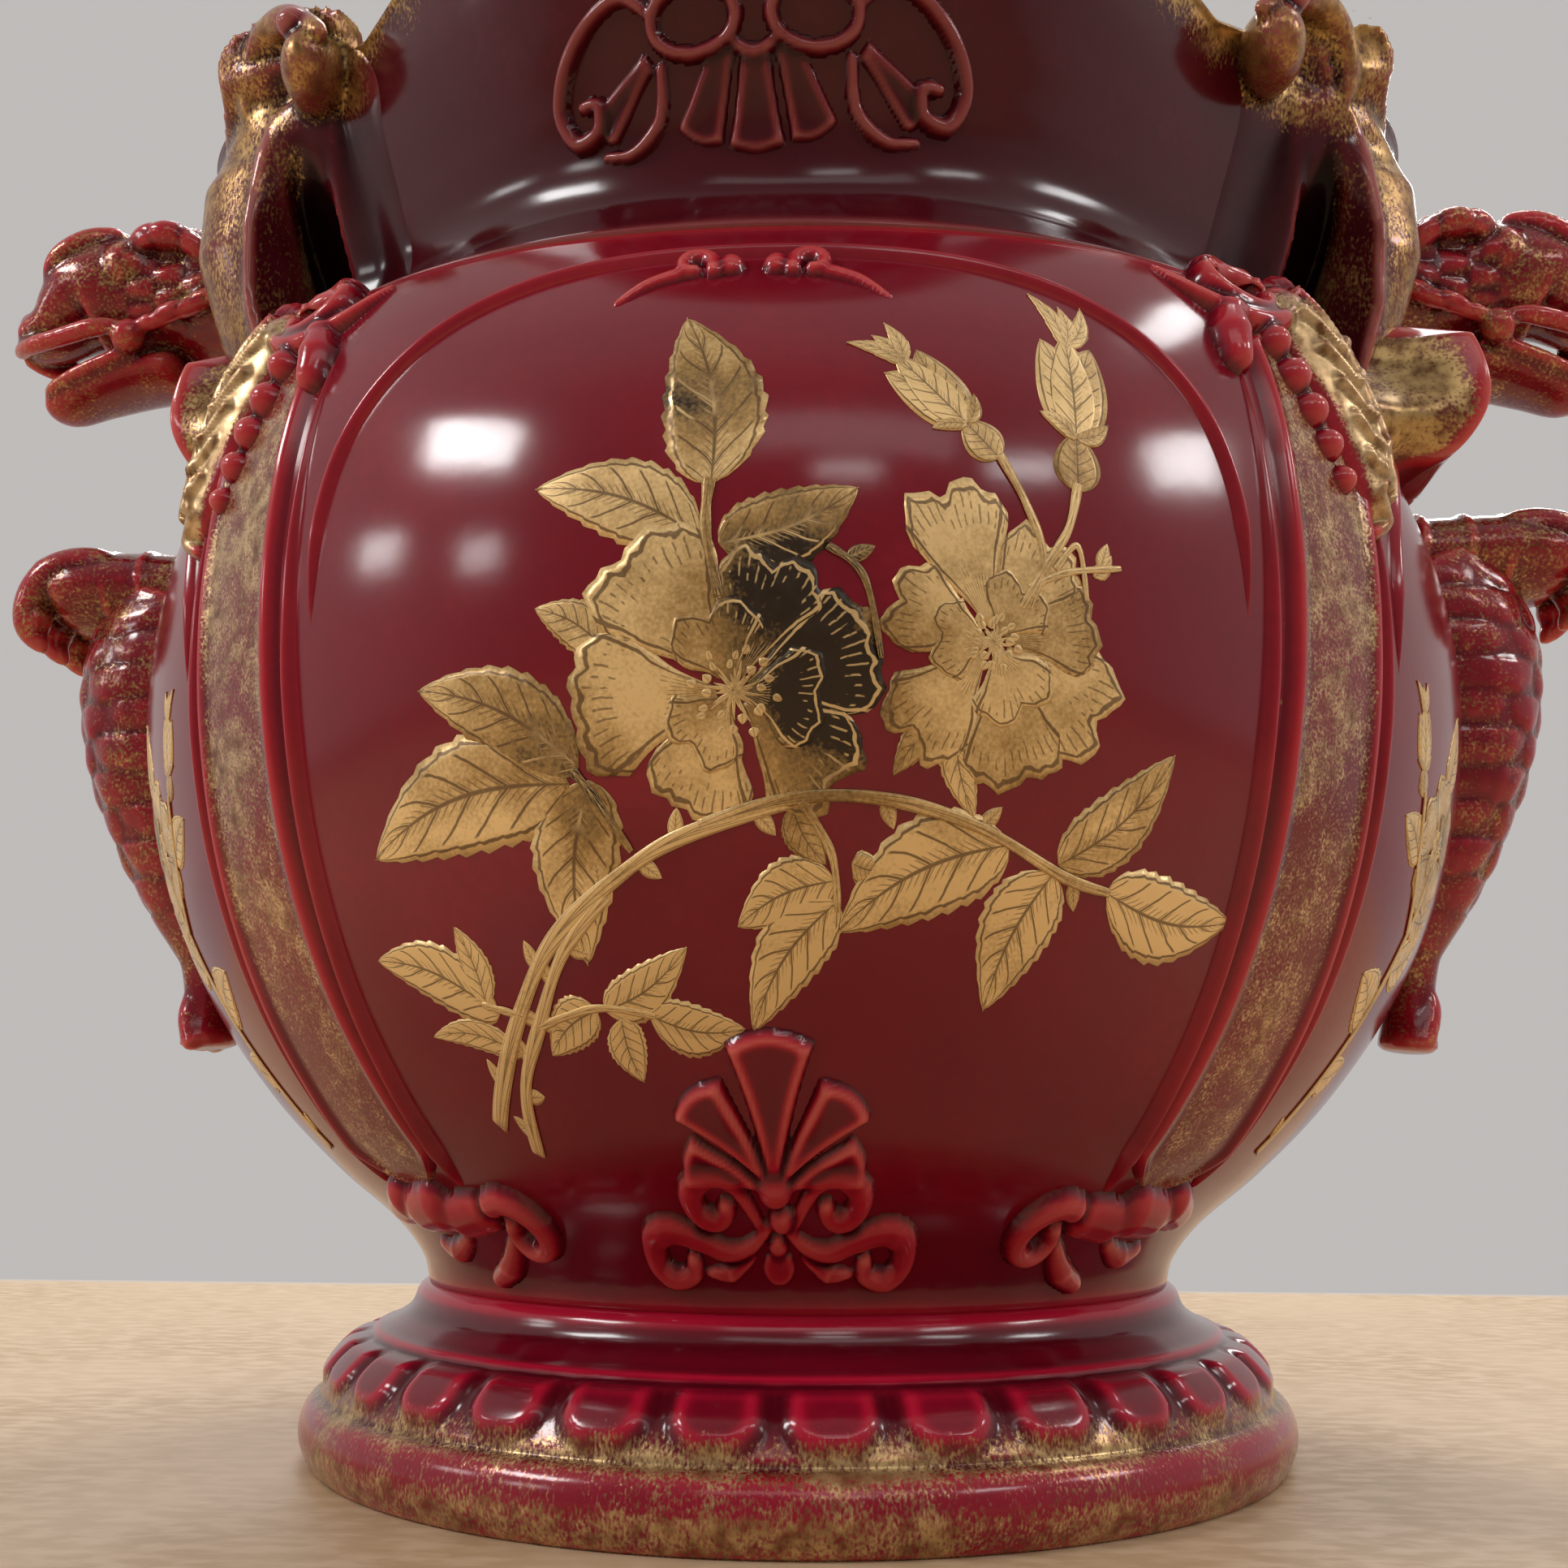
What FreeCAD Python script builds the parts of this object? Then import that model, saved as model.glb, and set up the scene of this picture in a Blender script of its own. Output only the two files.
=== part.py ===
import FreeCAD, Part
import math
import os

# A cachepot on a raised foot: a four-lobed bowl, a flared collar pinched at its corners, two dragon
# handles and applied relief. Millimetres. Z is up and the origin is the middle of the foot's underside.
# The front panel faces -Y and the handles reach out along +X and -X. An azimuth is an angle round the
# Z axis, zero at the front and growing towards +X.

Vec = FreeCAD.Vector

# Foot
foot_height = 27.0
foot_rest_radius = 80.5
foot_torus_radius = 82.6
foot_torus_height = 10.5
foot_band_radius = 79.6
foot_ridge_radius = 71.4
foot_ridge_height = 19.4
foot_step = 1.2
waist_radius = 63.0
foot_wall = 6.5
foot_rest_width = 7.0

# Raised tongues on the foot's band
tongue_count = 32
tongue_thickness = 1.3
tongue_gap = 1.7
tongue_margin = 0.7
tongue_tip_radius = 4.4

# Bowl
bowl_height = 145.0
belly_radius = 117.0
bowl_wall = 5.5
bowl_floor = 7.0

# Each row of a profile: share of the height, share of the swell, and how far the corners draw in
bowl_profile_shares = [
    (0.000, 0.000, 0.000),
    (0.030, 0.022, 0.000),
    (0.070, 0.110, 0.006),
    (0.124, 0.290, 0.014),
    (0.200, 0.500, 0.024),
    (0.300, 0.705, 0.034),
    (0.420, 0.870, 0.044),
    (0.550, 0.970, 0.050),
    (0.670, 1.000, 0.050),
    (0.780, 0.965, 0.040),
    (0.860, 0.880, 0.016),
    (0.925, 0.775, -0.012),
    (0.970, 0.685, -0.035),
    (1.000, 0.618, -0.050),
]

# Collar
collar_height = 64.0
collar_wall = 4.6
neck_set_in = 24.2
rim_dip = 13.0
rim_arch_width = 150.0

collar_profile_shares = [
    (0.000, 0.158, -0.050),
    (0.070, 0.050, 0.000),
    (0.140, 0.000, 0.050),
    (0.250, 0.050, 0.085),
    (0.375, 0.215, 0.100),
    (0.515, 0.430, 0.115),
    (0.655, 0.640, 0.130),
    (0.780, 0.800, 0.140),
    (0.890, 0.920, 0.145),
    (1.000, 1.000, 0.150),
]

# Corner straps
strap_azimuth = 43.5
strap_half_angle = 6.2
strap_thickness = 1.3
strap_bottom_share = 0.115
strap_top_share = 0.955
strap_station_count = 12

# Panel frames
frame_ridge_radius = 1.9
frame_gap_angle = 1.3
frame_bottom_share = 0.115
frame_top_share = 0.86
frame_station_count = 12
arch_ridge_radius = 1.5
arch_gap_angle = 3.8
arch_clearance = 1.5
arch_foot_share = 0.62
arch_top_share = 0.952
arch_station_count = 17
arch_roundness = 0.72

# Corner folds over the straps. The pieces on the right and the left were set on by hand and differ:
# a value with two entries belongs to the right side (1) and to the left side (-1)
fold_valley_azimuths = {1: 55.5, -1: 49.5}
fold_arris_azimuths = {1: 62.5, -1: 56.5}
fold_bulge_azimuths = {1: 70.0, -1: 66.0}
fold_end_azimuths = {1: 79.0, -1: 77.0}
fold_arris_set_ins = {1: 6.5, -1: 9.5}
fold_bulge_set_ins = {1: 3.0, -1: 5.0}
fold_base_points = 7
fold_sink = 1.2
fold_height = 50.0
fold_profile_shares = [
    (0.00, 0.965, 0.935),
    (0.22, 0.990, 0.960),
    (0.50, 0.995, 1.000),
    (0.75, 0.985, 1.010),
    (1.00, 0.968, 0.985),
]

# Rolled scrolls at the rim's corners
rim_scroll_azimuth = 55.0
rim_scroll_set_in = 14.0
rim_scroll_drop = 10.5
rim_scroll_width = 9.5
rim_scroll_rise = 8.0
rim_scroll_depth = 7.5
rim_knob_share = 0.48

# Relief on the shoulders, below the straps and on the panels
seat_gap = 0.15
dome_rise_share = 0.7

leaf_half_width = 7.2
leaf_relief = 3.4
leaf_drop = 2.0
leaf_length = 28.0
leaf_azimuth = 46.1
leaf_lean_angle = 2.4
leaf_shares = [0.5, 0.9, 1.0, 0.88, 0.7, 0.46, 0.14]
finger_azimuth = 35.2
finger_drop = 7.0
finger_half_width = 3.0
finger_relief = 3.0
finger_reach = 9.5
finger_lean_angle = -1.4
finger_shares = [0.5, 0.9, 1.0, 0.8, 0.3]
scroll_azimuth = 39.0
scroll_drop = 1.4
scroll_half_length = 4.9
scroll_half_height = 2.6
scroll_tube = 1.7
scroll_relief = 2.8
scroll_stations = 13
scroll_sweep = 5.6
scroll_lift = 1.1
scroll_end_share = 0.75
pearl_radii = [2.0, 2.3, 2.4, 2.2, 2.0]
pearl_drop = 7.0
pearl_pitch = 5.0
pearl_azimuth = 39.6
pearl_lean_angle = 5.8

strap_scroll_rise = 12.5
strap_scroll_bead_radius = 3.6
strap_scroll_pitch = 8.0
strap_scroll_curl_radius = 4.6
strap_scroll_tube = 1.5
strap_bead_shares = [1.1, 0.05, -1.0]
strap_bead_fall_share = 0.2
strap_curl_shares = {"reach": 1.35, "fall": 0.9, "shrink": 0.45, "width": 0.7, "rise": 0.8}
strap_drop_shares = {"reach": 0.5, "fall": 2.1, "size": 0.6}
curl_stations = 12
curl_relief_share = 1.3

palmette_rise = 19.0
palmette_lobe_length = 18.0
palmette_lobe_width = 4.2
palmette_relief = 2.2
palmette_half_width = 24.0
palmette_volute_radius = 4.6
palmette_tube = 1.45
palmette_bead_radius = 2.5
lobe_tilt_shares = [(0, 1.0), (35, 0.84), (-35, 0.84), (72, 0.62), (-72, 0.62)]
lobe_shares = [(0.3, 0.3, 0.6), (0.48, 0.6, 0.9), (0.7, 0.9, 1.0), (0.9, 1.0, 1.0), (1.0, 0.72, 0.5)]
volute_shares = {"fall": 0.55, "radius": 0.8, "shrink": 0.5, "width": 0.7, "rise": 0.8}
lower_volute_fall_share = 2.15
lower_volute_shares = [
    (0.14, -0.30),
    (0.30, 0.05),
    (0.50, 0.10),
    (0.70, 0.35),
    (0.88, 0.45),
    (1.00, 0.10),
    (0.95, -0.40),
    (0.80, -0.55),
]
lower_tube_shares = {"width": 1.2, "rise": 1.5, "last": 0.75}
palmette_bead_shares = [1.0, 0.72, 0.6]
palmette_bead_pitch_share = 1.9

crest_drop = 10.0
crest_bead_radius = 2.2
crest_spread = 6.9
crest_shares = [(0.38, 0.86), (1.0, 1.0)]
crest_azimuth = -1.2

cartouche_rise = 28.0
cartouche_azimuth = -1.6
cartouche_loop_width = 5.8
cartouche_loop_height = 3.9
cartouche_loop_reach = 8.2
cartouche_tube = 1.2
cartouche_relief = 2.0
cartouche_arm_reach = 31.0
cartouche_arm_drop = 14.0
cartouche_loop_points = 13
cartouche_arm_shares = [
    (0.50, 0.80),
    (0.62, 0.95),
    (0.76, 0.98),
    (0.90, 0.85),
    (1.00, 0.60),
    (0.96, 0.38),
    (0.86, 0.42),
]
cartouche_arm_width_share = 1.3
pendant_shares = [(0.55, 0.8, 0.5), (0.7, 2.2, 1.0), (0.85, 2.6, 1.1), (1.0, 1.8, 0.8), (1.1, 0.6, 0.4)]

# Handles
handle_stand = 40.0
head_rises = {1: 39.0, -1: 41.5}
neck_half_width = 15.0
neck_half_height = 14.5
neck_root_depth = 25.0
jaw_half_width = 9.0
jaw_half_height = 4.5
neck_shares = [
    (0.00, -0.45, 1.00, 0.95),
    (0.17, -0.20, 0.98, 1.00),
    (0.34, 0.00, 0.92, 0.98),
    (0.50, 0.08, 0.84, 0.94),
    (0.62, 0.10, 0.80, 0.93),
]
head_shares = [
    (0.71, 0.14, 0.86, 0.92),
    (0.79, 0.12, 0.82, 0.84),
    (0.84, -0.10, 0.70, 0.58),
    (0.90, -0.36, 0.56, 0.39),
    (0.96, -0.50, 0.48, 0.28),
    (1.00, -0.56, 0.30, 0.14),
]
jaw_shares = [
    (0.50, -1.05, 1.00, 1.10),
    (0.64, -1.12, 1.00, 0.90),
    (0.75, -1.30, 0.90, 0.90),
    (0.84, -1.46, 0.72, 0.85),
    (0.89, -1.42, 0.50, 0.45),
]
wing_edge_stands = {1: 5.0, -1: -3.5}
wing_tip_drop = 15.0
wing_top_rise = 28.0
wing_azimuth = 51.5
wing_edge_azimuth = 66.0
wing_edge_thickness = 4.0
wing_sink = 1.0
wing_root_share = 0.75
wing_shares = [
    (0.00, 0.935),
    (0.10, 0.972),
    (0.24, 0.997),
    (0.40, 1.000),
    (0.58, 0.983),
    (0.75, 0.950),
    (1.00, 0.910),
]
claw_drops = {1: 16.5, -1: 21.0}
claw_half_height = 9.5
claw_half_width = 13.5
claw_set_in = 10.0
toe_radius = 3.6
toe_pitch = 8.2
claw_shares = [
    (0.00, -0.10, 1.00, 1.00),
    (0.30, 0.05, 0.95, 0.92),
    (0.60, 0.10, 1.00, 0.90),
    (0.82, 0.00, 0.95, 0.80),
    (0.92, -0.20, 0.70, 0.55),
]
toe_shares = [
    (0.62, 0.45, 0.90),
    (0.84, 0.40, 1.05),
    (0.93, -0.10, 1.00),
    (0.94, -0.75, 0.85),
    (0.86, -1.35, 0.50),
]
body_half_depth = 18.0
body_half_width = 15.5
body_start_share = 0.3
body_end_share = 0.2
body_shares = [
    (0.15, 0.95, 1.00),
    (0.22, 1.00, 1.06),
    (0.20, 0.95, 0.92),
    (0.12, 0.80, 0.76),
    (0.05, 0.64, 0.60),
    (0.02, 0.50, 0.46),
]
tail_start_share = 0.26
tail_tip_rise = 38.0
tail_set_in = 9.5
tail_shares = [
    (0.00, 0.00, 0.46, 0.40),
    (0.15, 0.40, 0.32, 0.26),
    (0.50, 0.72, 0.38, 0.26),
    (0.80, 1.00, 0.52, 0.34),
]

# Heights and radii that follow from the sizes above, so that each piece keeps its place on the pot
bowl_top = foot_height + bowl_height
rim_radius = belly_radius
collar_neck_radius = belly_radius - neck_set_in
fold_arris_radii = {side: rim_radius - depth for side, depth in fold_arris_set_ins.items()}
fold_bulge_radii = {side: rim_radius - depth for side, depth in fold_bulge_set_ins.items()}
rim_scroll_radius = rim_radius - rim_scroll_set_in
rim_scroll_height = bowl_top + collar_height - rim_scroll_drop
leaf_top_height = bowl_top - leaf_drop
leaf_bottom_height = leaf_top_height - leaf_length
finger_height = bowl_top - finger_drop
scroll_height = bowl_top - scroll_drop
pearl_top_height = leaf_top_height - pearl_drop
strap_scroll_height = foot_height + strap_scroll_rise
palmette_height = foot_height + palmette_rise
crest_height = bowl_top - crest_drop
cartouche_height = bowl_top + cartouche_rise
handle_reach = rim_radius + handle_stand
head_heights = {side: bowl_top + rise for side, rise in head_rises.items()}
neck_root_radius = rim_radius - neck_root_depth
wing_edge_radii = {side: belly_radius + stand for side, stand in wing_edge_stands.items()}
wing_tip_height = bowl_top - wing_tip_drop
wing_top_height = bowl_top + wing_top_rise
claw_heights = {side: bowl_top - drop for side, drop in claw_drops.items()}
claw_reach = handle_reach - claw_set_in
tail_tip_height = foot_height + tail_tip_rise
tail_reach = belly_radius - tail_set_in

overrun = 3.0
crumb_share = 0.04
full_turn = 360.0
quarter_turn = 90.0
ring_points = 24
oval_points = 8
quadrants = {
    "front_right": (1, 1),
    "front_left": (-1, 1),
    "back_right": (1, -1),
    "back_left": (-1, -1),
}


def at(azimuth, radius, height):
    """The point at an azimuth in degrees, a radius and a height."""
    turn = math.radians(azimuth)
    return Vec(radius * math.sin(turn), -radius * math.cos(turn), height)


def blend(rows, share, column):
    """A column of a table of shares at one share of its first column, along a smooth curve."""
    share = min(max(share, rows[0][0]), rows[-1][0])
    index = 0
    while index < len(rows) - 2 and rows[index + 1][0] < share:
        index += 1
    low, high = rows[index], rows[index + 1]
    before = rows[max(index - 1, 0)]
    after = rows[min(index + 2, len(rows) - 1)]
    span = high[0] - low[0]
    step = (share - low[0]) / span
    low_slope = (high[column] - before[column]) / (high[0] - before[0]) * span
    high_slope = (after[column] - low[column]) / (after[0] - low[0]) * span
    cube = step ** 3
    square = step ** 2
    return ((2 * cube - 3 * square + 1) * low[column] + (cube - 2 * square + step) * low_slope
            + (3 * square - 2 * cube) * high[column] + (cube - square) * high_slope)


def draw_in(azimuth):
    """0 in the middle of a panel and 1 at a corner."""
    return math.sin(math.radians(2 * azimuth)) ** 2


def lobed(radius, pinch, azimuth):
    return radius * (1 - pinch * draw_in(azimuth))


def bowl_row(share):
    """Radius and pinch of the bowl's outside at a share of its height."""
    radius = waist_radius + (belly_radius - waist_radius) * blend(bowl_profile_shares, share, 1)
    return radius, blend(bowl_profile_shares, share, 2)


def collar_row(share):
    """Radius and pinch of the collar's outside at a share of its height."""
    swell = blend(collar_profile_shares, share, 1)
    radius = collar_neck_radius + (rim_radius - collar_neck_radius) * swell
    return radius, blend(collar_profile_shares, share, 2)


def surface_radius(azimuth, height):
    """Radius of the pot's outside, bowl or collar, at an azimuth and a height."""
    if height <= bowl_top:
        radius, pinch = bowl_row((height - foot_height) / bowl_height)
    else:
        radius, pinch = collar_row((height - bowl_top) / collar_height)
    return lobed(radius, pinch, azimuth)


def on_pot(azimuth, height, lift):
    return at(azimuth, surface_radius(azimuth, height) + lift, height)


def outward(point):
    """Unit vector square to the pot's outside near a point."""
    azimuth = math.degrees(math.atan2(point.x, -point.y))
    step = bowl_wall / belly_radius * bowl_height / 10
    up = on_pot(azimuth, point.z + step, 0) - on_pot(azimuth, point.z - step, 0)
    across = on_pot(azimuth + 1, point.z, 0) - on_pot(azimuth - 1, point.z, 0)
    return across.cross(up).normalize()


def closed_curve(points):
    curve = Part.BSplineCurve()
    curve.interpolate(Points=points, PeriodicFlag=True)
    return Part.Wire([curve.toShape()])


def lobed_ring(radius, pinch, height):
    points = []
    for index in range(ring_points):
        azimuth = full_turn * index / ring_points
        points.append(at(azimuth, lobed(radius, pinch, azimuth), height))
    return closed_curve(points)


def solid_loft(wires, ruled=False):
    return Part.makeLoft(wires, True, ruled)


def bowl_solid(inset, bottom, top):
    """The bowl's outside drawn in by an inset, solid, with its flat ends at two heights."""
    wires = []
    shares = [row[0] for row in bowl_profile_shares]
    heights = [foot_height + share * bowl_height for share in shares]
    for height in [bottom] + [each for each in heights if bottom < each < top] + [top]:
        radius, pinch = bowl_row((height - foot_height) / bowl_height)
        wires.append(lobed_ring(radius - inset, pinch, height))
    return solid_loft(wires)


def collar_solid(inset, bottom, top):
    wires = []
    heights = [bowl_top + row[0] * collar_height for row in collar_profile_shares]
    for height in [bottom] + [each for each in heights if bottom < each < top] + [top]:
        radius, pinch = collar_row((height - bowl_top) / collar_height)
        wires.append(lobed_ring(radius - inset, pinch, height))
    return solid_loft(wires)


def foot_outline(inset):
    """Points of the foot's outside from its rest up to the waist, drawn in by an inset."""
    torus_mid = foot_torus_height / 2
    step_height = foot_ridge_height + foot_step
    rise = foot_height - step_height
    hollow = foot_ridge_radius - foot_step - waist_radius
    return [
        (foot_rest_radius - inset, 0),
        (foot_torus_radius - inset, torus_mid),
        (foot_band_radius - inset, foot_torus_height),
        (foot_ridge_radius - inset, foot_ridge_height),
        (foot_ridge_radius - foot_step - inset, step_height),
        (waist_radius + hollow / 4 - inset, step_height + rise / 2),
        (waist_radius - inset, foot_height),
    ]


def arc_through(first, middle, last):
    return Part.Arc(first, middle, last).toShape()


def foot_edges(inset):
    """The foot's outside as edges in the XZ plane: torus, bulging band, step and cavetto."""
    spots = [Vec(radius, 0, height) for radius, height in foot_outline(inset)]
    rest, torus, band, ridge, step, hollow, waist = spots
    bulge = (band + ridge) * 0.5 + Vec(foot_step, 0, foot_step / 2)
    return [
        arc_through(rest, torus, band),
        arc_through(band, bulge, ridge),
        Part.makeLine(ridge, step),
        arc_through(step, hollow, waist),
    ]


def turned(edges):
    face = Part.Face(Part.Wire(edges))
    return face.revolve(Vec(0, 0, 0), Vec(0, 0, 1), full_turn)


def foot_solid():
    """The foot filled to its axis, to cut what lies on it."""
    edges = foot_edges(0)
    axis_top = Vec(0, 0, foot_height)
    waist = Vec(waist_radius, 0, foot_height)
    rest = Vec(foot_rest_radius, 0, 0)
    closing = [Part.makeLine(waist, axis_top), Part.makeLine(axis_top, Vec(0, 0, 0)),
               Part.makeLine(Vec(0, 0, 0), rest)]
    return turned(edges + closing)


def make_foot():
    """The foot, hollow underneath, with a flat ring to rest on."""
    throat = waist_radius - foot_wall
    rest_inner = foot_rest_radius - foot_rest_width
    hollow_points = [Vec(throat, 0, foot_height), Vec(throat, 0, foot_ridge_height), Vec(rest_inner, 0, 0)]
    closing = [Part.makeLine(Vec(waist_radius, 0, foot_height), hollow_points[0]),
               Part.makeLine(hollow_points[0], hollow_points[1]),
               Part.makeLine(hollow_points[1], hollow_points[2]),
               Part.makeLine(hollow_points[2], Vec(foot_rest_radius, 0, 0))]
    return turned(foot_edges(0) + closing)


def make_tongues():
    """Raised U-shaped tongues round the foot's band, as one group of separate solids."""
    spots = foot_outline(0)
    band, ridge = spots[2], spots[3]
    lift = tongue_thickness
    outer = [Vec(radius + lift, 0, height) for radius, height in (band, ridge)]
    inner = [Vec(radius - foot_wall / 2, 0, height) for radius, height in (band, ridge)]
    bulge = (outer[0] + outer[1]) * 0.5 + Vec(foot_step, 0, foot_step / 2)
    skin = turned([arc_through(outer[0], bulge, outer[1]), Part.makeLine(outer[1], inner[1]),
                   Part.makeLine(inner[1], inner[0]), Part.makeLine(inner[0], outer[0])])
    pitch = 2 * math.pi * (band[0] + ridge[0]) / 2 / tongue_count
    half = (pitch - tongue_gap) / 2
    low = band[1] + tongue_margin
    high = ridge[1] - tongue_margin
    tip = tongue_tip_radius
    shoulder = low + tip
    bend = Vec(half - tip * (1 - math.sqrt(0.5)), 0, shoulder - tip * math.sqrt(0.5))
    right, left = Vec(half, 0, shoulder), Vec(-half, 0, shoulder)
    low_right, low_left = Vec(half - tip, 0, low), Vec(tip - half, 0, low)
    outline = Part.Wire([
        Part.makeLine(Vec(half, 0, high), right),
        arc_through(right, bend, low_right),
        Part.makeLine(low_right, low_left),
        arc_through(low_left, Vec(-bend.x, 0, bend.z), left),
        Part.makeLine(left, Vec(-half, 0, high)),
        Part.makeLine(Vec(-half, 0, high), Vec(half, 0, high)),
    ])
    prism = Part.Face(outline).extrude(Vec(0, -foot_torus_radius - overrun, 0))
    tongue = skin.common(prism).cut(foot_solid())
    copies = []
    for index in range(tongue_count):
        copy = tongue.copy()
        copy.rotate(Vec(0, 0, 0), Vec(0, 0, 1), full_turn * index / tongue_count)
        copies.append(copy)
    return Part.makeCompound(copies)


def make_bowl():
    """The bowl, hollow above its floor and open at the neck."""
    outside = bowl_solid(0, foot_height, bowl_top)
    inside = bowl_solid(bowl_wall, foot_height + bowl_floor, bowl_top)
    return outside.cut(inside)


def rim_blade():
    """A tall block whose underside arches over each panel, to cut the rim's line."""
    top = bowl_top + collar_height
    low = top - rim_dip
    half = rim_arch_width / 2
    reach = rim_radius + overrun
    crown = Part.Arc(Vec(-half, 0, low), Vec(0, 0, top - overrun / 2), Vec(half, 0, low)).toShape()
    corners = [Vec(half, 0, low), Vec(reach, 0, low), Vec(reach, 0, top + overrun),
               Vec(-reach, 0, top + overrun), Vec(-reach, 0, low), Vec(-half, 0, low)]
    sides = [Part.makeLine(start, end) for start, end in zip(corners, corners[1:])]
    blade = Part.Face(Part.Wire([crown] + sides)).extrude(Vec(0, 2 * reach, 0))
    blade.translate(Vec(0, -reach, 0))
    crossing = blade.copy()
    crossing.rotate(Vec(0, 0, 0), Vec(0, 0, 1), quarter_turn)
    return blade.common(crossing)


def make_collar():
    """The flared collar, whose rim arches over each panel and dips at the corners."""
    top = bowl_top + collar_height
    outside = collar_solid(0, bowl_top, top)
    inside = collar_solid(collar_wall, bowl_top, top)
    return outside.cut(inside).cut(rim_blade())


def oval(centre, side, normal, half_width, half_height):
    """A closed oval wire about a centre, as wide along side and as high along normal as asked."""
    points = []
    for index in range(oval_points):
        turn = 2 * math.pi * index / oval_points
        points.append(centre + side * (half_width * math.cos(turn)) + normal * (half_height * math.sin(turn)))
    return closed_curve(points)


def seat_lift(half_width):
    """How far a flat back that wide stands off the pot so that its middle just clears the curve."""
    return seat_gap + half_width ** 2 / (2 * belly_radius)


def relief(places, half_widths, rises, lift=0):
    """A rib with a flat back and a round top, laid on the pot along places of azimuth and height."""
    wires = []
    path = [on_pot(azimuth, height, lift) for azimuth, height in places]
    for index, point in enumerate(path):
        ahead = path[min(index + 1, len(path) - 1)]
        behind = path[max(index - 1, 0)]
        normal = outward(point)
        along = (ahead - behind).normalize()
        side = along.cross(normal).normalize()
        normal = side.cross(along).normalize()
        foot_point = point + normal * seat_lift(half_widths[index])
        start = foot_point - side * half_widths[index]
        end = foot_point + side * half_widths[index]
        wires.append(Part.Wire([
            Part.makeLine(start, end),
            arc_through(end, foot_point + normal * rises[index], start)]))
    return solid_loft(wires)


def dome(azimuth, height, radius, lift=0):
    """A bead with a flat back on the pot, a little more than half a ball."""
    base = on_pot(azimuth, height, lift)
    normal = outward(base)
    sink = radius * (1 - dome_rise_share) / 2
    centre = base + normal * (seat_lift(radius) + sink)
    low_latitude = -math.degrees(math.asin(sink / radius))
    return Part.makeSphere(radius, centre, normal, low_latitude, quarter_turn, full_turn)


def limb(path, half_widths, half_heights):
    """Oval wires along a path in the plane through the handles, as wide along Y as asked."""
    side = Vec(0, 1, 0)
    wires = []
    for index, point in enumerate(path):
        ahead = path[min(index + 1, len(path) - 1)]
        behind = path[max(index - 1, 0)]
        along = Vec(ahead.x - behind.x, 0, ahead.z - behind.z).normalize()
        normal = side.cross(along).normalize()
        wires.append(oval(point, side, normal, half_widths[index], half_heights[index]))
    return wires


def across(azimuth, distance, height):
    """The azimuth that lies a distance round the pot from another."""
    return azimuth + math.degrees(distance / surface_radius(azimuth, height))


def spiral(azimuth, height, radius, start, sweep, count, shrink_share):
    """Places along a flat spiral laid on the pot about one place, winding inwards."""
    places = []
    for index in range(count):
        share = index / (count - 1)
        turn = math.radians(start + sweep * share)
        reach = radius * (1 - (1 - shrink_share) * share)
        local_height = height + reach * math.sin(turn)
        places.append((across(azimuth, reach * math.cos(turn), height), local_height))
    return places


def tapered(count, middle, end_share):
    """Half sizes along a rib that is full in its middle and thin at its ends."""
    sizes = []
    for index in range(count):
        wave = math.sin(math.pi * index / (count - 1))
        sizes.append(middle * (end_share + (1 - end_share) * wave))
    return sizes


def shrinking(count, first, last_share):
    return [first * (1 - (1 - last_share) * index / (count - 1)) for index in range(count)]


def pad(azimuth, height, radius, half_width, half_height, half_depth):
    """An oval lump centred at an azimuth, a height and a radius."""
    centre = at(azimuth, radius, height)
    turn = math.radians(azimuth)
    side = Vec(math.cos(turn), math.sin(turn), 0)
    out = Vec(math.sin(turn), -math.cos(turn), 0)
    matrix = FreeCAD.Matrix(
        side.x * half_width, out.x * half_depth, 0, centre.x,
        side.y * half_width, out.y * half_depth, 0, centre.y,
        0, 0, half_height, centre.z,
        0, 0, 0, 1)
    return Part.makeSphere(1).transformGeometry(matrix)


def seated(shape, *carriers):
    """A shape cut by what carries it, so that the two meet face to face, without loose crumbs."""
    for carrier in carriers:
        if shape.BoundBox.intersect(carrier.BoundBox):
            shape = shape.cut(carrier)
    largest = max(solid.Volume for solid in shape.Solids)
    kept = [solid for solid in shape.Solids if solid.Volume > largest * crumb_share]
    return kept[0] if len(kept) == 1 else Part.makeCompound(kept)


def grouped(parts):
    return Part.makeCompound(parts)


def mirrored(shape, sideways, frontal):
    """A front right piece copied to another quadrant."""
    if sideways < 0:
        shape = shape.mirror(Vec(0, 0, 0), Vec(1, 0, 0))
    if frontal < 0:
        shape = shape.mirror(Vec(0, 0, 0), Vec(0, 1, 0))
    return shape


def height_at(share):
    """Height of a share of the bowl."""
    return foot_height + share * bowl_height


def make_strap():
    """A thin raised band up one corner of the bowl."""
    wires = []
    for index in range(strap_station_count):
        step = index / (strap_station_count - 1)
        share = strap_bottom_share + (strap_top_share - strap_bottom_share) * step
        height = height_at(share)
        edges = [strap_azimuth - strap_half_angle, strap_azimuth, strap_azimuth + strap_half_angle]
        outer = [on_pot(azimuth, height, strap_thickness) for azimuth in edges]
        inner = [on_pot(azimuth, height, seat_gap) for azimuth in edges]
        wires.append(Part.Wire([
            arc_through(*outer), Part.makeLine(outer[2], inner[2]),
            arc_through(inner[2], inner[1], inner[0]), Part.makeLine(inner[0], outer[0])]))
    return solid_loft(wires)


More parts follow.
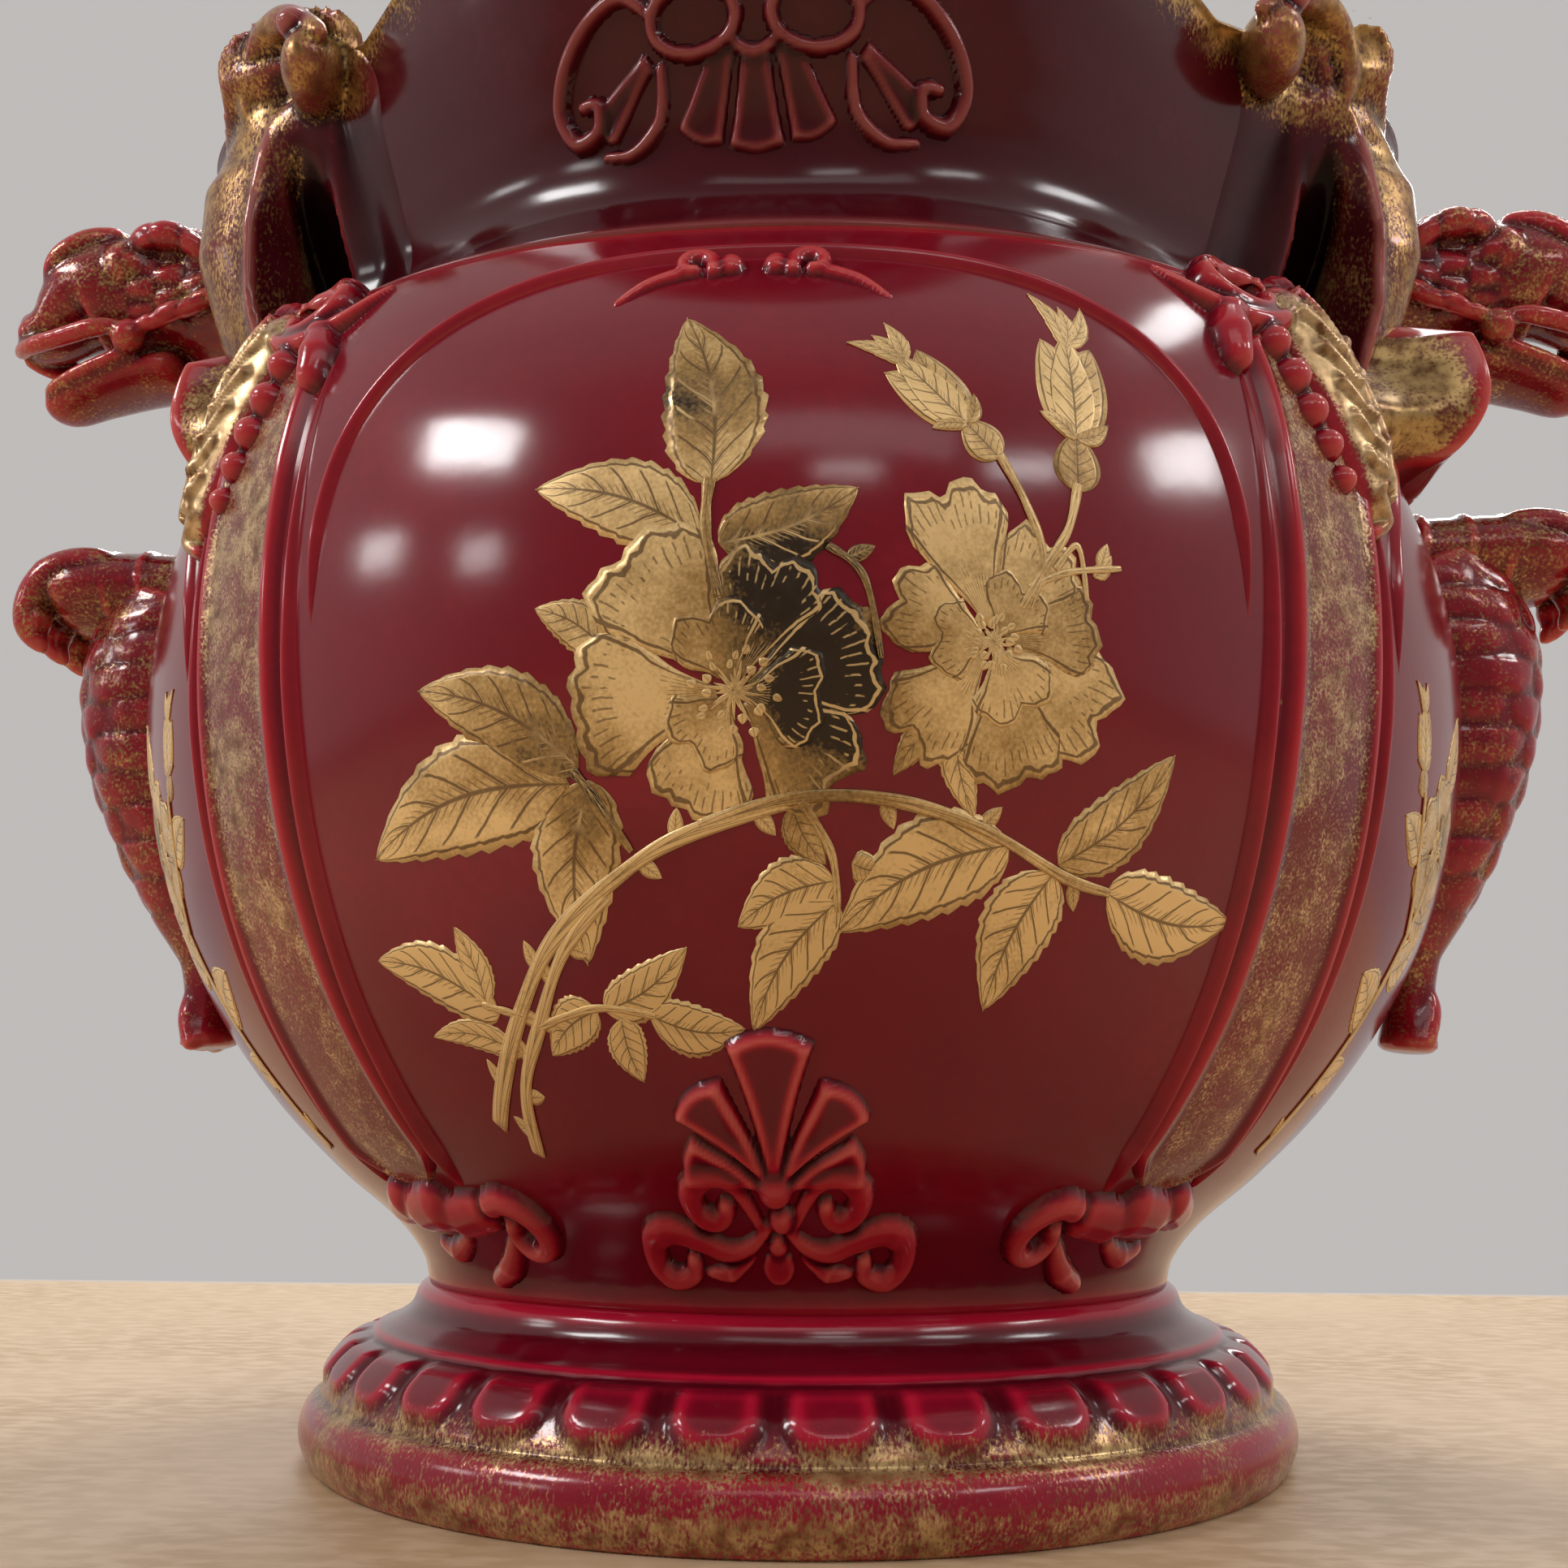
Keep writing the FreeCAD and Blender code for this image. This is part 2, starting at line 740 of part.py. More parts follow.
def make_frame_side(middle, sign):
    """The long ridge up one side of a panel whose middle is at an azimuth."""
    strap_edge = strap_azimuth - strap_half_angle
    if middle != 0:
        strap_edge = quarter_turn - strap_azimuth - strap_half_angle
    places = []
    for index in range(frame_station_count):
        step = index / (frame_station_count - 1)
        share = frame_bottom_share + (frame_top_share - frame_bottom_share) * step
        places.append((middle + sign * (strap_edge - frame_gap_angle), height_at(share)))
    sizes = tapered(frame_station_count, frame_ridge_radius, 0.6)
    return relief(places, sizes, sizes)


def make_frame_arch(middle):
    """The inner ridge that arches over a panel."""
    strap_edge = strap_azimuth - strap_half_angle
    if middle != 0:
        strap_edge = quarter_turn - strap_azimuth - strap_half_angle
    half_angle = strap_edge - arch_gap_angle
    places = []
    for index in range(arch_station_count):
        turn = math.pi * index / (arch_station_count - 1)
        swing = -math.copysign(abs(math.cos(turn)) ** arch_roundness, math.cos(turn))
        rise = math.sin(turn) ** arch_roundness
        share = arch_foot_share + (arch_top_share - arch_foot_share) * rise
        places.append((middle + half_angle * swing, height_at(share)))
    sizes = tapered(arch_station_count, arch_ridge_radius, 0.5)
    return relief(places, sizes, sizes)


def make_panel_frame(middle):
    return grouped([make_frame_side(middle, -1), make_frame_side(middle, 1), make_frame_arch(middle)])


def make_fold(side, collar):
    """The upright folded spandrel between a strap's top and the rim's corner, on one side."""
    start, end = fold_valley_azimuths[side], fold_end_azimuths[side]
    wires = []
    for share, arris_share, bulge_share in fold_profile_shares:
        height = bowl_top + seat_gap + share * fold_height
        base = []
        for index in range(fold_base_points):
            azimuth = start + (end - start) * index / (fold_base_points - 1)
            base.append(on_pot(azimuth, height, -fold_sink))
        arris = at(fold_arris_azimuths[side], fold_arris_radii[side] * arris_share, height)
        bulge = at(fold_bulge_azimuths[side], fold_bulge_radii[side] * bulge_share, height)
        curve = Part.BSplineCurve()
        curve.interpolate(base)
        wires.append(Part.Wire([
            curve.toShape(), arc_through(base[-1], bulge, arris), Part.makeLine(arris, base[0])]))
    return seated(solid_loft(wires), collar)


def make_rim_scroll(collar, fold):
    """The rolled scroll that caps a fold at the rim's corner."""
    width, rise, depth = rim_scroll_width, rim_scroll_rise, rim_scroll_depth
    knob = rise * rim_knob_share
    turn = math.degrees(width / rim_scroll_radius)
    main = pad(rim_scroll_azimuth, rim_scroll_height, rim_scroll_radius, width, rise, depth)
    inner = pad(rim_scroll_azimuth - turn * 0.75, rim_scroll_height + rise * 0.55,
                rim_scroll_radius - depth / 4, knob, knob, depth * 0.8)
    outer = pad(rim_scroll_azimuth + turn * 0.8, rim_scroll_height - rise * 0.1,
                rim_scroll_radius + depth / 4, knob, knob * 1.2, depth * 0.8)
    return seated(main.fuse(inner).fuse(outer), collar, fold)


def leaning(azimuth, height, lean_angle, reach, shares):
    """Evenly spaced places down a reach, one for each share, that lean round by an angle."""
    last = len(shares) - 1
    return [(azimuth + lean_angle * index / last, height - reach * index / last) for index in range(last + 1)]


def make_shoulder_leaf():
    """An acanthus leaf down the strap's top, a finger over the panel and a scroll on the shoulder."""
    places = leaning(leaf_azimuth, leaf_top_height, leaf_lean_angle, leaf_top_height - leaf_bottom_height,
                     leaf_shares)
    blade = relief(places, [leaf_half_width * share for share in leaf_shares],
                   [leaf_relief * (1 + share) / 2 for share in leaf_shares], strap_thickness)
    places = leaning(finger_azimuth, finger_height, finger_lean_angle, finger_reach, finger_shares)
    finger = relief(places, [finger_half_width * share for share in finger_shares],
                    [finger_relief * share for share in finger_shares])
    curl = []
    for index in range(scroll_stations):
        turn = scroll_sweep * index / (scroll_stations - 1)
        curl.append((across(scroll_azimuth, scroll_half_length * math.cos(turn), scroll_height),
                     scroll_height + scroll_half_height * math.sin(turn)))
    shank = relief(curl, shrinking(scroll_stations, scroll_tube, scroll_end_share),
                   shrinking(scroll_stations, scroll_relief, scroll_end_share), scroll_lift)
    return grouped([blade, finger, shank])


def make_pearl_drop():
    """Five pearls falling in a row beside the leaf, on the strap."""
    pearls = []
    last = len(pearl_radii) - 1
    for index, radius in enumerate(pearl_radii):
        azimuth = pearl_azimuth + pearl_lean_angle * index / last
        pearls.append(dome(azimuth, pearl_top_height - pearl_pitch * index, radius, strap_thickness))
    return grouped(pearls)


def make_strap_scroll():
    """The row of beads and the curling drop below a strap."""
    bead = strap_scroll_bead_radius
    pitch = strap_scroll_pitch
    height = strap_scroll_height
    parts = []
    for index, share in enumerate(strap_bead_shares):
        bead_height = height - bead * strap_bead_fall_share * index
        parts.append(dome(across(strap_azimuth, pitch * share, height), bead_height, bead))
    curl = strap_curl_shares
    middle = across(strap_azimuth, -pitch * curl["reach"] - strap_scroll_curl_radius, height)
    places = spiral(middle, height - bead * curl["fall"], strap_scroll_curl_radius, 60, 320, curl_stations,
                    curl["shrink"])
    parts.append(relief(places, shrinking(curl_stations, strap_scroll_tube, curl["width"]),
                        shrinking(curl_stations, strap_scroll_tube * curl_relief_share, curl["rise"])))
    drop = strap_drop_shares
    drop_height = height - bead * drop["fall"]
    drop_azimuth = across(strap_azimuth, -pitch * drop["reach"], drop_height)
    parts.append(dome(drop_azimuth, drop_height, bead * drop["size"]))
    return grouped(parts)


def make_palmette():
    """A fan of five lobes over a column of beads and two pairs of volutes."""
    parts = []
    root = palmette_height
    tube = palmette_tube
    for tilt, size_share in lobe_tilt_shares:
        lean = math.radians(tilt)
        places = []
        for share, wide, tall in lobe_shares:
            reach = palmette_lobe_length * size_share * share
            places.append((across(0, reach * math.sin(lean), root), root + reach * math.cos(lean)))
        width = palmette_lobe_width * size_share
        parts.append(relief(places, [width * wide for share, wide, tall in lobe_shares],
                            [palmette_relief * tall for share, wide, tall in lobe_shares]))
    volute = palmette_volute_radius
    bead = palmette_bead_radius
    for sign in (-1, 1):
        upper = spiral(across(0, sign * (bead + volute + tube), root), root - volute * volute_shares["fall"],
                       volute * volute_shares["radius"], 90 - sign * 90, sign * 300, curl_stations,
                       volute_shares["shrink"])
        parts.append(relief(upper, shrinking(curl_stations, tube, volute_shares["width"]),
                            shrinking(curl_stations, tube * curl_relief_share, volute_shares["rise"])))
        lower_height = root - volute * lower_volute_fall_share
        lower = []
        for share, rise in lower_volute_shares:
            lower.append((across(0, sign * palmette_half_width * share, root), lower_height + rise * volute))
        count = len(lower_volute_shares)
        sizes = lower_tube_shares
        parts.append(relief(lower, shrinking(count, tube * sizes["width"], sizes["last"]),
                            shrinking(count, tube * sizes["rise"], sizes["last"])))
    for index, share in enumerate(palmette_bead_shares):
        parts.append(dome(0, root - bead * palmette_bead_pitch_share * index, bead * share))
    return grouped(parts)


def make_crest():
    """Two little scrolls, each a pair of beads, at the top of a panel."""
    parts = []
    for sign in (-1, 1):
        for share, size_share in crest_shares:
            radius = crest_bead_radius * size_share
            parts.append(dome(across(crest_azimuth, sign * crest_spread * share, crest_height),
                              crest_height - arch_clearance + radius / 4, radius))
    return grouped(parts)


def make_cartouche():
    """Two oval loops over a pendant, with a scroll sweeping out and down at each side."""
    tube = cartouche_tube
    rise = cartouche_relief
    parts = []
    for sign in (-1, 1):
        loop = []
        count = cartouche_loop_points
        for index in range(count):
            turn = 2 * math.pi * index / count
            distance = cartouche_loop_reach + cartouche_loop_width * math.cos(turn)
            loop.append((across(cartouche_azimuth, sign * distance, cartouche_height),
                         cartouche_height + cartouche_loop_height * math.sin(turn)))
        parts.append(relief(loop, [tube] * count, [rise] * count))
        arm = []
        for share, drop_share in cartouche_arm_shares:
            arm.append((across(cartouche_azimuth, sign * cartouche_arm_reach * share, cartouche_height),
                        cartouche_height - cartouche_arm_drop * drop_share))
        stations = len(cartouche_arm_shares)
        parts.append(relief(arm, tapered(stations, tube * cartouche_arm_width_share, 0.6),
                            tapered(stations, rise, 0.6)))
    pendant = []
    for share, wide, tall in pendant_shares:
        pendant.append((cartouche_azimuth, cartouche_height - cartouche_arm_drop * share))
    parts.append(relief(pendant, [tube * wide for share, wide, tall in pendant_shares],
                        [rise * tall for share, wide, tall in pendant_shares]))
    return grouped(parts)


def handle_path(side, shares):
    """Points in the plane through the handles from shares of the reach and of the neck's half height."""
    reach = handle_reach - neck_root_radius
    return [Vec(neck_root_radius + reach * along, 0, head_heights[side] + neck_half_height * rise)
            for along, rise, wide, tall in shares]


def make_head_and_neck(side, collar):
    """The neck that springs from the collar and the head at its end, which meet on one oval."""
    rows = neck_shares + head_shares
    widths = [neck_half_width * row[2] for row in rows]
    heights = [neck_half_height * row[3] for row in rows]
    wires = limb(handle_path(side, rows), widths, heights)
    neck = seated(solid_loft(wires[:len(neck_shares)]), collar)
    head = solid_loft(wires[len(neck_shares) - 1:])
    return head, neck


def make_jaw(side, head, neck):
    """The lower jaw, which hangs open below the snout and ends in a turned-down chin."""
    path = handle_path(side, jaw_shares)
    widths = [jaw_half_width * row[2] for row in jaw_shares]
    heights = [jaw_half_height * row[3] for row in jaw_shares]
    return seated(solid_loft(limb(path, widths, heights)), head, neck)


def make_wing(side, bowl, collar, fold, strap, frame):
    """The wing leaf whose edge stands off the shoulder beside the neck and ends in a low point."""
    wires = []
    spread = wing_edge_radii[side]
    for share, edge_share in wing_shares:
        height = wing_tip_height + (wing_top_height - wing_tip_height) * share
        inner_azimuth = wing_azimuth + (wing_edge_azimuth - wing_azimuth) * wing_root_share * (1 - share) ** 3
        inner = on_pot(inner_azimuth, height, -wing_sink)
        edge = at(wing_edge_azimuth, spread * edge_share, height)
        lip = at(wing_edge_azimuth + math.degrees(wing_edge_thickness / spread),
                 spread * edge_share - wing_edge_thickness / 3, height)
        heel = on_pot(wing_edge_azimuth + math.degrees(2 * wing_edge_thickness / spread), height, -wing_sink)
        wires.append(Part.makePolygon([inner, edge, lip, heel, inner]))
    return seated(solid_loft(wires), collar, bowl, fold, strap, frame)


def make_claw(side, bowl):
    """The foreleg that reaches straight out and ends in three toes turned down."""
    claw_height = claw_heights[side]
    root = surface_radius(quarter_turn, claw_height) - bowl_wall / 2
    reach = claw_reach - root
    path = []
    for along, rise, wide, tall in claw_shares:
        path.append(Vec(root + reach * along, 0, claw_height + claw_half_height * rise))
    widths = [claw_half_width * row[2] for row in claw_shares]
    heights = [claw_half_height * row[3] for row in claw_shares]
    claw = solid_loft(limb(path, widths, heights))
    for step in (-1, 0, 1):
        toe = []
        for along, rise, size in toe_shares:
            toe.append(Vec(root + reach * along, step * toe_pitch, claw_height + claw_half_height * rise))
        sizes = [toe_radius * row[2] for row in toe_shares]
        claw = claw.fuse(solid_loft(limb(toe, sizes, sizes)))
    return seated(claw, bowl)


def make_body(side, bowl, claw):
    """The scaly body below the foreleg, narrowing as it lies down the bowl's side."""
    top = claw_heights[side] - claw_half_height * body_start_share
    bottom = tail_tip_height + (top - tail_tip_height) * body_end_share
    path = []
    for index, (stand, wide, deep) in enumerate(body_shares):
        height = top + (bottom - top) * index / (len(body_shares) - 1)
        path.append(on_pot(quarter_turn, height, body_half_depth * stand))
    widths = [body_half_width * row[1] for row in body_shares]
    heights = [body_half_depth * row[2] for row in body_shares]
    return seated(solid_loft(limb(path, widths, heights)), bowl, claw)


def make_tail(side, bowl, body):
    """The tail's end, which leaves the bowl and flares like a fish tail."""
    top = claw_heights[side] - claw_half_height * body_start_share
    start = tail_tip_height + (top - tail_tip_height) * tail_start_share
    drop = start - tail_tip_height
    root = surface_radius(quarter_turn, start)
    path = []
    for along, fall, wide, deep in tail_shares:
        path.append(Vec(root + (tail_reach - root) * along, 0, start - drop * fall))
    widths = [body_half_width * row[2] for row in tail_shares]
    heights = [body_half_depth * row[3] for row in tail_shares]
    return seated(solid_loft(limb(path, widths, heights)), bowl, body)


def save(name, shape):
    shape.exportStep("parts/" + name + ".step")
    print(name, "solids", len(shape.Solids), "valid", shape.isValid(), "volume", round(shape.Volume))


def save_quadrants(name, builder):
    """The four corners' pieces, from a builder that takes the side they stand on."""
    for side in (1, -1):
        shape = builder(side)
        for place, (sideways, frontal) in quadrants.items():
            if sideways == side:
                save(name + "_" + place, mirrored(shape, sideways, frontal))


def save_pair(name, shape, sideways):
    """A piece and its mirror image: right and left when sideways, else front and back."""
    if sideways:
        save(name + "_right", shape)
        save(name + "_left", mirrored(shape, -1, 1))
    else:
        save(name + "_front", shape)
        save(name + "_back", mirrored(shape, 1, -1))


def save_handle(side, place, bowl, collar):
    """The dragon on one side: built on the right and mirrored for the left."""
    head, neck = make_head_and_neck(side, collar)
    claw = make_claw(side, bowl)
    body = make_body(side, bowl, claw)
    pieces = {"head": head, "neck": neck, "jaw": make_jaw(side, head, neck), "claw": claw, "body": body,
              "tail": make_tail(side, bowl, body)}
    for name, shape in pieces.items():
        save("dragon_" + name + place, mirrored(shape, side, 1))


def main():
    os.makedirs("parts", exist_ok=True)
    bowl_core = bowl_solid(0, foot_height, bowl_top)
    collar_core = collar_solid(0, bowl_top, bowl_top + collar_height)
    save("foot", make_foot())
    save("foot_tongues", make_tongues())
    save("bowl", make_bowl())
    save("collar", make_collar())

    strap = make_strap()
    leaf = make_shoulder_leaf()
    pearls = make_pearl_drop()
    strap_scroll = make_strap_scroll()
    folds = {1: make_fold(1, collar_core), -1: make_fold(-1, collar_core)}
    save_quadrants("strap", lambda side: strap)
    save_quadrants("shoulder_leaf", lambda side: leaf)
    save_quadrants("pearl_drop", lambda side: pearls)
    save_quadrants("strap_scroll", lambda side: strap_scroll)
    save_quadrants("corner_fold", lambda side: folds[side])
    save_quadrants("rim_scroll", lambda side: make_rim_scroll(collar_core, folds[side]))
    side_frame = make_panel_frame(quarter_turn)
    save_pair("panel_frame", make_panel_frame(0), False)
    save_pair("panel_frame", side_frame, True)
    save_quadrants("dragon_wing",
                   lambda side: make_wing(side, bowl_core, collar_core, folds[side], strap, side_frame))
    save_pair("palmette", make_palmette(), False)
    save_pair("crest", make_crest(), False)
    save_pair("cartouche", make_cartouche(), False)
    for side, place in ((1, "_right"), (-1, "_left")):
        save_handle(side, place, bowl_core, collar_core)


main()
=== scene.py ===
import logging
from collections.abc import Callable, Sequence
from dataclasses import dataclass, field
from enum import Enum
from math import cos, pi, radians, sin

import bpy
import numpy as np
from mathutils import Matrix, Vector


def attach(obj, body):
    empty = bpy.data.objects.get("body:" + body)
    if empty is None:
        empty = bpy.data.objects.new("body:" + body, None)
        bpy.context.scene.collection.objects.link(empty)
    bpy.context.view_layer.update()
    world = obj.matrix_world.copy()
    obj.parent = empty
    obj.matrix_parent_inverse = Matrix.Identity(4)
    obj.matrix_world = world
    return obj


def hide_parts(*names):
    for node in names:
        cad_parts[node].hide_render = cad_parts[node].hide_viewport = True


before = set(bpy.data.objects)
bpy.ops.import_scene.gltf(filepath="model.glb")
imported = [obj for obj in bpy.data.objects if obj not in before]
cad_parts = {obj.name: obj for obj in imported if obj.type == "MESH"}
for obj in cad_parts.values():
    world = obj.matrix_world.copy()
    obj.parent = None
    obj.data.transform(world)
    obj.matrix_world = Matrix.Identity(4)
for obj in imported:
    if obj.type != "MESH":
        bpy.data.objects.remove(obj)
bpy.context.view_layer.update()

log = logging.getLogger("cachepot")
Array, Piece, Socket = np.ndarray, bpy.types.Object, bpy.types.NodeSocket
Colour = tuple[float, float, float]
Row = tuple[float, ...]
Shape = Callable[[Array, Array], Array]
Drawing = Callable[[Array, Array], tuple[Array, Array]]


# Small sums that the forms share

def between(before: Array, start: Array, end: Array, after: Array, step: Array) -> Array:
    """Follows a smooth line from start to end, where before and after are the knots beside them."""
    return 0.5 * (2 * start + (end - before) * step + (2 * before - 5 * start + 4 * end - after) * step ** 2
                  + (3 * start - before - 3 * end + after) * step ** 3)


def through(points: Sequence[Row] | Array, count: int) -> Array:
    """Follows a smooth line through points.

    Args:
        points: The points, each with as many numbers as wanted.
        count: How many places to give along the line.

    Returns:
        The places, evenly spread over the points' order.
    """
    knots = np.asarray(points, float)
    last = len(knots) - 1
    where = np.linspace(0, last, count)
    low = np.clip(where.astype(int), 0, last - 1)
    step = (where - low)[:, None]
    return between(knots[np.maximum(low - 1, 0)], knots[low], knots[low + 1], knots[np.minimum(low + 2, last)], step)


def loop_round(knots: Array, around: Array) -> Array:
    """Follows smooth closed lines through knots.

    Args:
        knots: The knots of each line, numbers or points, with one line for each place asked for.
        around: Share of the way round at each place.

    Returns:
        The numbers or points there.
    """
    count, line = len(knots), np.arange(len(around))
    where = np.mod(around, 1.0) * count
    index = where.astype(int) % count
    step = (where - np.floor(where)).reshape((-1,) + (1,) * (knots.ndim - 2))
    return between(*(knots[(index + shift) % count, line] for shift in (-1, 0, 1, 2)), step)


def fade(value: Array, low: float, high: float) -> Array:
    """Rises softly from 0 at low to 1 at high."""
    step = np.clip((value - low) / (high - low), 0, 1)
    return step * step * (3 - 2 * step)


def unit(vectors: Array) -> Array:
    """Gives vectors the length 1."""
    return vectors / np.maximum(np.linalg.norm(vectors, axis=-1, keepdims=True), 1e-9)


def melt(first: Array, second: Array) -> Array:
    """Takes the higher of two heights, run a little together where they meet."""
    return (first ** 4 + second ** 4) ** 0.25


def azimuth_of(places: Array) -> Array:
    """Gives the angles of places round the pot in degrees, 0 at the front and growing to the right."""
    return np.degrees(np.arctan2(places[:, 0], -places[:, 1]))


def corner_azimuth(places: Array) -> Array:
    """Gives the same angles as if every place lay on the front right quarter."""
    return np.degrees(np.arctan2(np.abs(places[:, 0]), np.abs(places[:, 1])))


def reach_of(places: Array) -> Array:
    """Gives the distances of places from the pot's axis."""
    return np.hypot(places[:, 0], places[:, 1])


def mirrored(points: Sequence[Row], sign: int) -> tuple[Row, ...]:
    """Gives the points of a flat drawing, turned to its other half where the sign is -1."""
    return tuple((sign * across, up) for across, up in points)


class Side(Enum):
    """The side of the pot that a handle stands on."""

    RIGHT = 1
    LEFT = -1

    @property
    def word(self) -> str:
        """The side's name in a piece's name."""
        return self.name.lower()


class Corner(Enum):
    """One of the pot's four corners, as its side and 1 for the front or -1 for the back."""

    FRONT_RIGHT = (Side.RIGHT, 1)
    FRONT_LEFT = (Side.LEFT, 1)
    BACK_RIGHT = (Side.RIGHT, -1)
    BACK_LEFT = (Side.LEFT, -1)

    @property
    def word(self) -> str:
        """The corner's name in a piece's name."""
        return self.name.lower()

    @classmethod
    def on(cls, side: Side) -> list["Corner"]:
        """Gives the two corners of a side, the front one first."""
        return [corner for corner in cls if corner.value[0] is side]


# The modeller's bench: every mesh is shaped in millimetres and set down in metres

class Bench:
    """Ways of working clay that every piece uses."""

    @staticmethod
    def clear() -> None:
        """Leaves nothing selected."""
        bpy.ops.object.select_all(action="DESELECT")

    @staticmethod
    def pick(obj: Piece) -> None:
        """Selects one object alone and makes it active.

        Args:
            obj: The object.
        """
        Bench.clear()
        obj.select_set(True)
        bpy.context.view_layer.objects.active = obj

    @staticmethod
    def vectors(obj: Piece, word: str) -> Array:
        """Reads three numbers of each vertex.

        Args:
            obj: The object.
            word: What to read.

        Returns:
            One row for each vertex.
        """
        rows = np.zeros(len(obj.data.vertices) * 3)
        obj.data.vertices.foreach_get(word, rows)
        return rows.reshape(-1, 3)

    @staticmethod
    def read(obj: Piece) -> Array:
        """Gives the places of an object's vertices."""
        return Bench.vectors(obj, "co")

    @staticmethod
    def write(obj: Piece, places: Array) -> None:
        """Moves an object's vertices to new places."""
        obj.data.vertices.foreach_set("co", np.ascontiguousarray(places, float).ravel())
        obj.data.update()

    @staticmethod
    def normals(obj: Piece) -> Array:
        """Gives the directions in which an object's vertices face."""
        return Bench.vectors(obj, "normal")

    @staticmethod
    def weld(obj: Piece, gap: float = 0.004) -> None:
        """Closes seams and poles and turns every face outwards.

        Args:
            obj: The object to close.
            gap: Points nearer to each other than this become one.
        """
        Bench.pick(obj)
        bpy.ops.object.mode_set(mode="EDIT")
        bpy.ops.mesh.select_all(action="SELECT")
        bpy.ops.mesh.remove_doubles(threshold=gap)
        bpy.ops.mesh.normals_make_consistent(inside=False)
        bpy.ops.object.mode_set(mode="OBJECT")

    @staticmethod
    def skin(name: str, columns: int, rows: int, shape: Shape, closed: bool = True) -> Piece:
        """Lays a flat sheet of clay and wraps it into a form.

        Args:
            name: The object's name.
            columns: Faces across the sheet.
            rows: Faces up the sheet.
            shape: Gives the place of each point from its shares across and up the sheet.
            closed: Whether the sheet's edges meet and are welded.

        Returns:
            The new object.
        """
        Bench.clear()
        bpy.ops.mesh.primitive_grid_add(x_subdivisions=columns, y_subdivisions=rows, size=1.0)
        obj = bpy.context.object
        obj.name = name
        flat = Bench.read(obj)
        Bench.write(obj, shape(flat[:, 0] + 0.5, flat[:, 1] + 0.5))
        if closed:
            Bench.weld(obj)
        return obj

    @staticmethod
    def ball(centre: Row, radii: Row, turn: float = 0.0) -> Piece:
        """Rolls a ball of clay and presses it oval.

        Args:
            centre: Its middle.
            radii: Its half sizes along X, Y and Z before it is tipped.
            turn: How far it is tipped about Y, in degrees, its X end up.

        Returns:
            The new object.
        """
        Bench.clear()
        bpy.ops.mesh.primitive_uv_sphere_add(segments=28, ring_count=16, radius=1.0)
        obj = bpy.context.object
        tip = np.array(Matrix.Rotation(-radians(turn), 3, "Y"))
        Bench.write(obj, (Bench.read(obj) * np.array(radii)) @ tip.T + np.array(centre))
        return obj

    @staticmethod
    def coil(path: Sequence[Row] | Array, widths: Sequence[float], heights: Sequence[float] | None = None,
             sideways: Row | None = None, rows: int = 40, cap: float = 0.12) -> Piece:
        """Rolls a coil of clay along a path, with rounded ends.

        Args:
            path: Points that the coil's middle follows.
            widths: Half widths at those points.
            heights: Half heights at those points, or None for a round coil.
            sideways: The direction of the width, or None where the coil is round.
            rows: Stations along the coil.
            cap: Share of the coil's length at each end that is rounded off.

        Returns:
            The new object.
        """
        tall = widths if heights is None else heights
        line = through(np.column_stack([np.asarray(path, float), widths, tall]), rows + 1)
        middle, wide, high = line[:, :3], line[:, 3], line[:, 4]
        along = unit(np.gradient(middle, axis=0))
        if sideways is None:
            spare = np.eye(3)[np.argmin(np.abs(along).sum(axis=0))]
        else:
            spare = np.asarray(sideways, float)
        up = unit(np.cross(np.broadcast_to(spare, along.shape), along))
        side = unit(np.cross(along, up))
        share = np.linspace(0, 1, rows + 1)
        near_end = np.clip(np.minimum(share, 1 - share) / cap, 0, 1)
        rounding = np.sqrt(1 - (1 - near_end) ** 2)

        def shape(around: Array, up_share: Array) -> Array:
            """Wraps the coil's skin round its path."""
            index = np.rint(up_share * rows).astype(int)
            turn = 2 * pi * around
            return (middle[index] + side[index] * (wide * rounding)[index, None] * np.cos(turn)[:, None]
                    + up[index] * (high * rounding)[index, None] * np.sin(turn)[:, None])

        return Bench.skin("coil", 24, rows, shape)

    @staticmethod
    def seat(obj: Piece, depth: float = 2.5) -> None:
        """Flattens whatever would come through the pot's wall.

        Args:
            obj: The piece.
            depth: How deep it may reach into the wall.
        """
        places = Bench.read(obj)
        azimuth = azimuth_of(places)
        reach = np.maximum(reach_of(places), 1e-6)
        least = POT.radius(azimuth, places[:, 2]) - depth
        within = (reach < least) & (places[:, 2] < POT.rim_height(azimuth) - 3)
        places[:, :2] *= np.where(within, least / reach, 1.0)[:, None]
        Bench.write(obj, places)

    @staticmethod
    def modify(obj: Piece, kind: str, **settings: float | str | bool) -> None:
        """Adds a modifier and applies it.

        Args:
            obj: The object.
            kind: The modifier's type.
            settings: Its settings.
        """
        Bench.pick(obj)
        modifier = obj.modifiers.new(kind.lower(), kind)
        for setting, value in settings.items():
            setattr(modifier, setting, value)
        bpy.ops.object.modifier_apply(modifier=modifier.name)

    @staticmethod
    def join(name: str, parts: Sequence[Piece]) -> Piece:
        """Makes one object of several.

        Args:
            name: Its name.
            parts: The objects.

        Returns:
            The one object.
        """
        Bench.clear()
        for part in parts:
            part.select_set(True)
        bpy.context.view_layer.objects.active = parts[0]
        bpy.ops.object.join()
        bpy.context.object.name = name
        return bpy.context.object

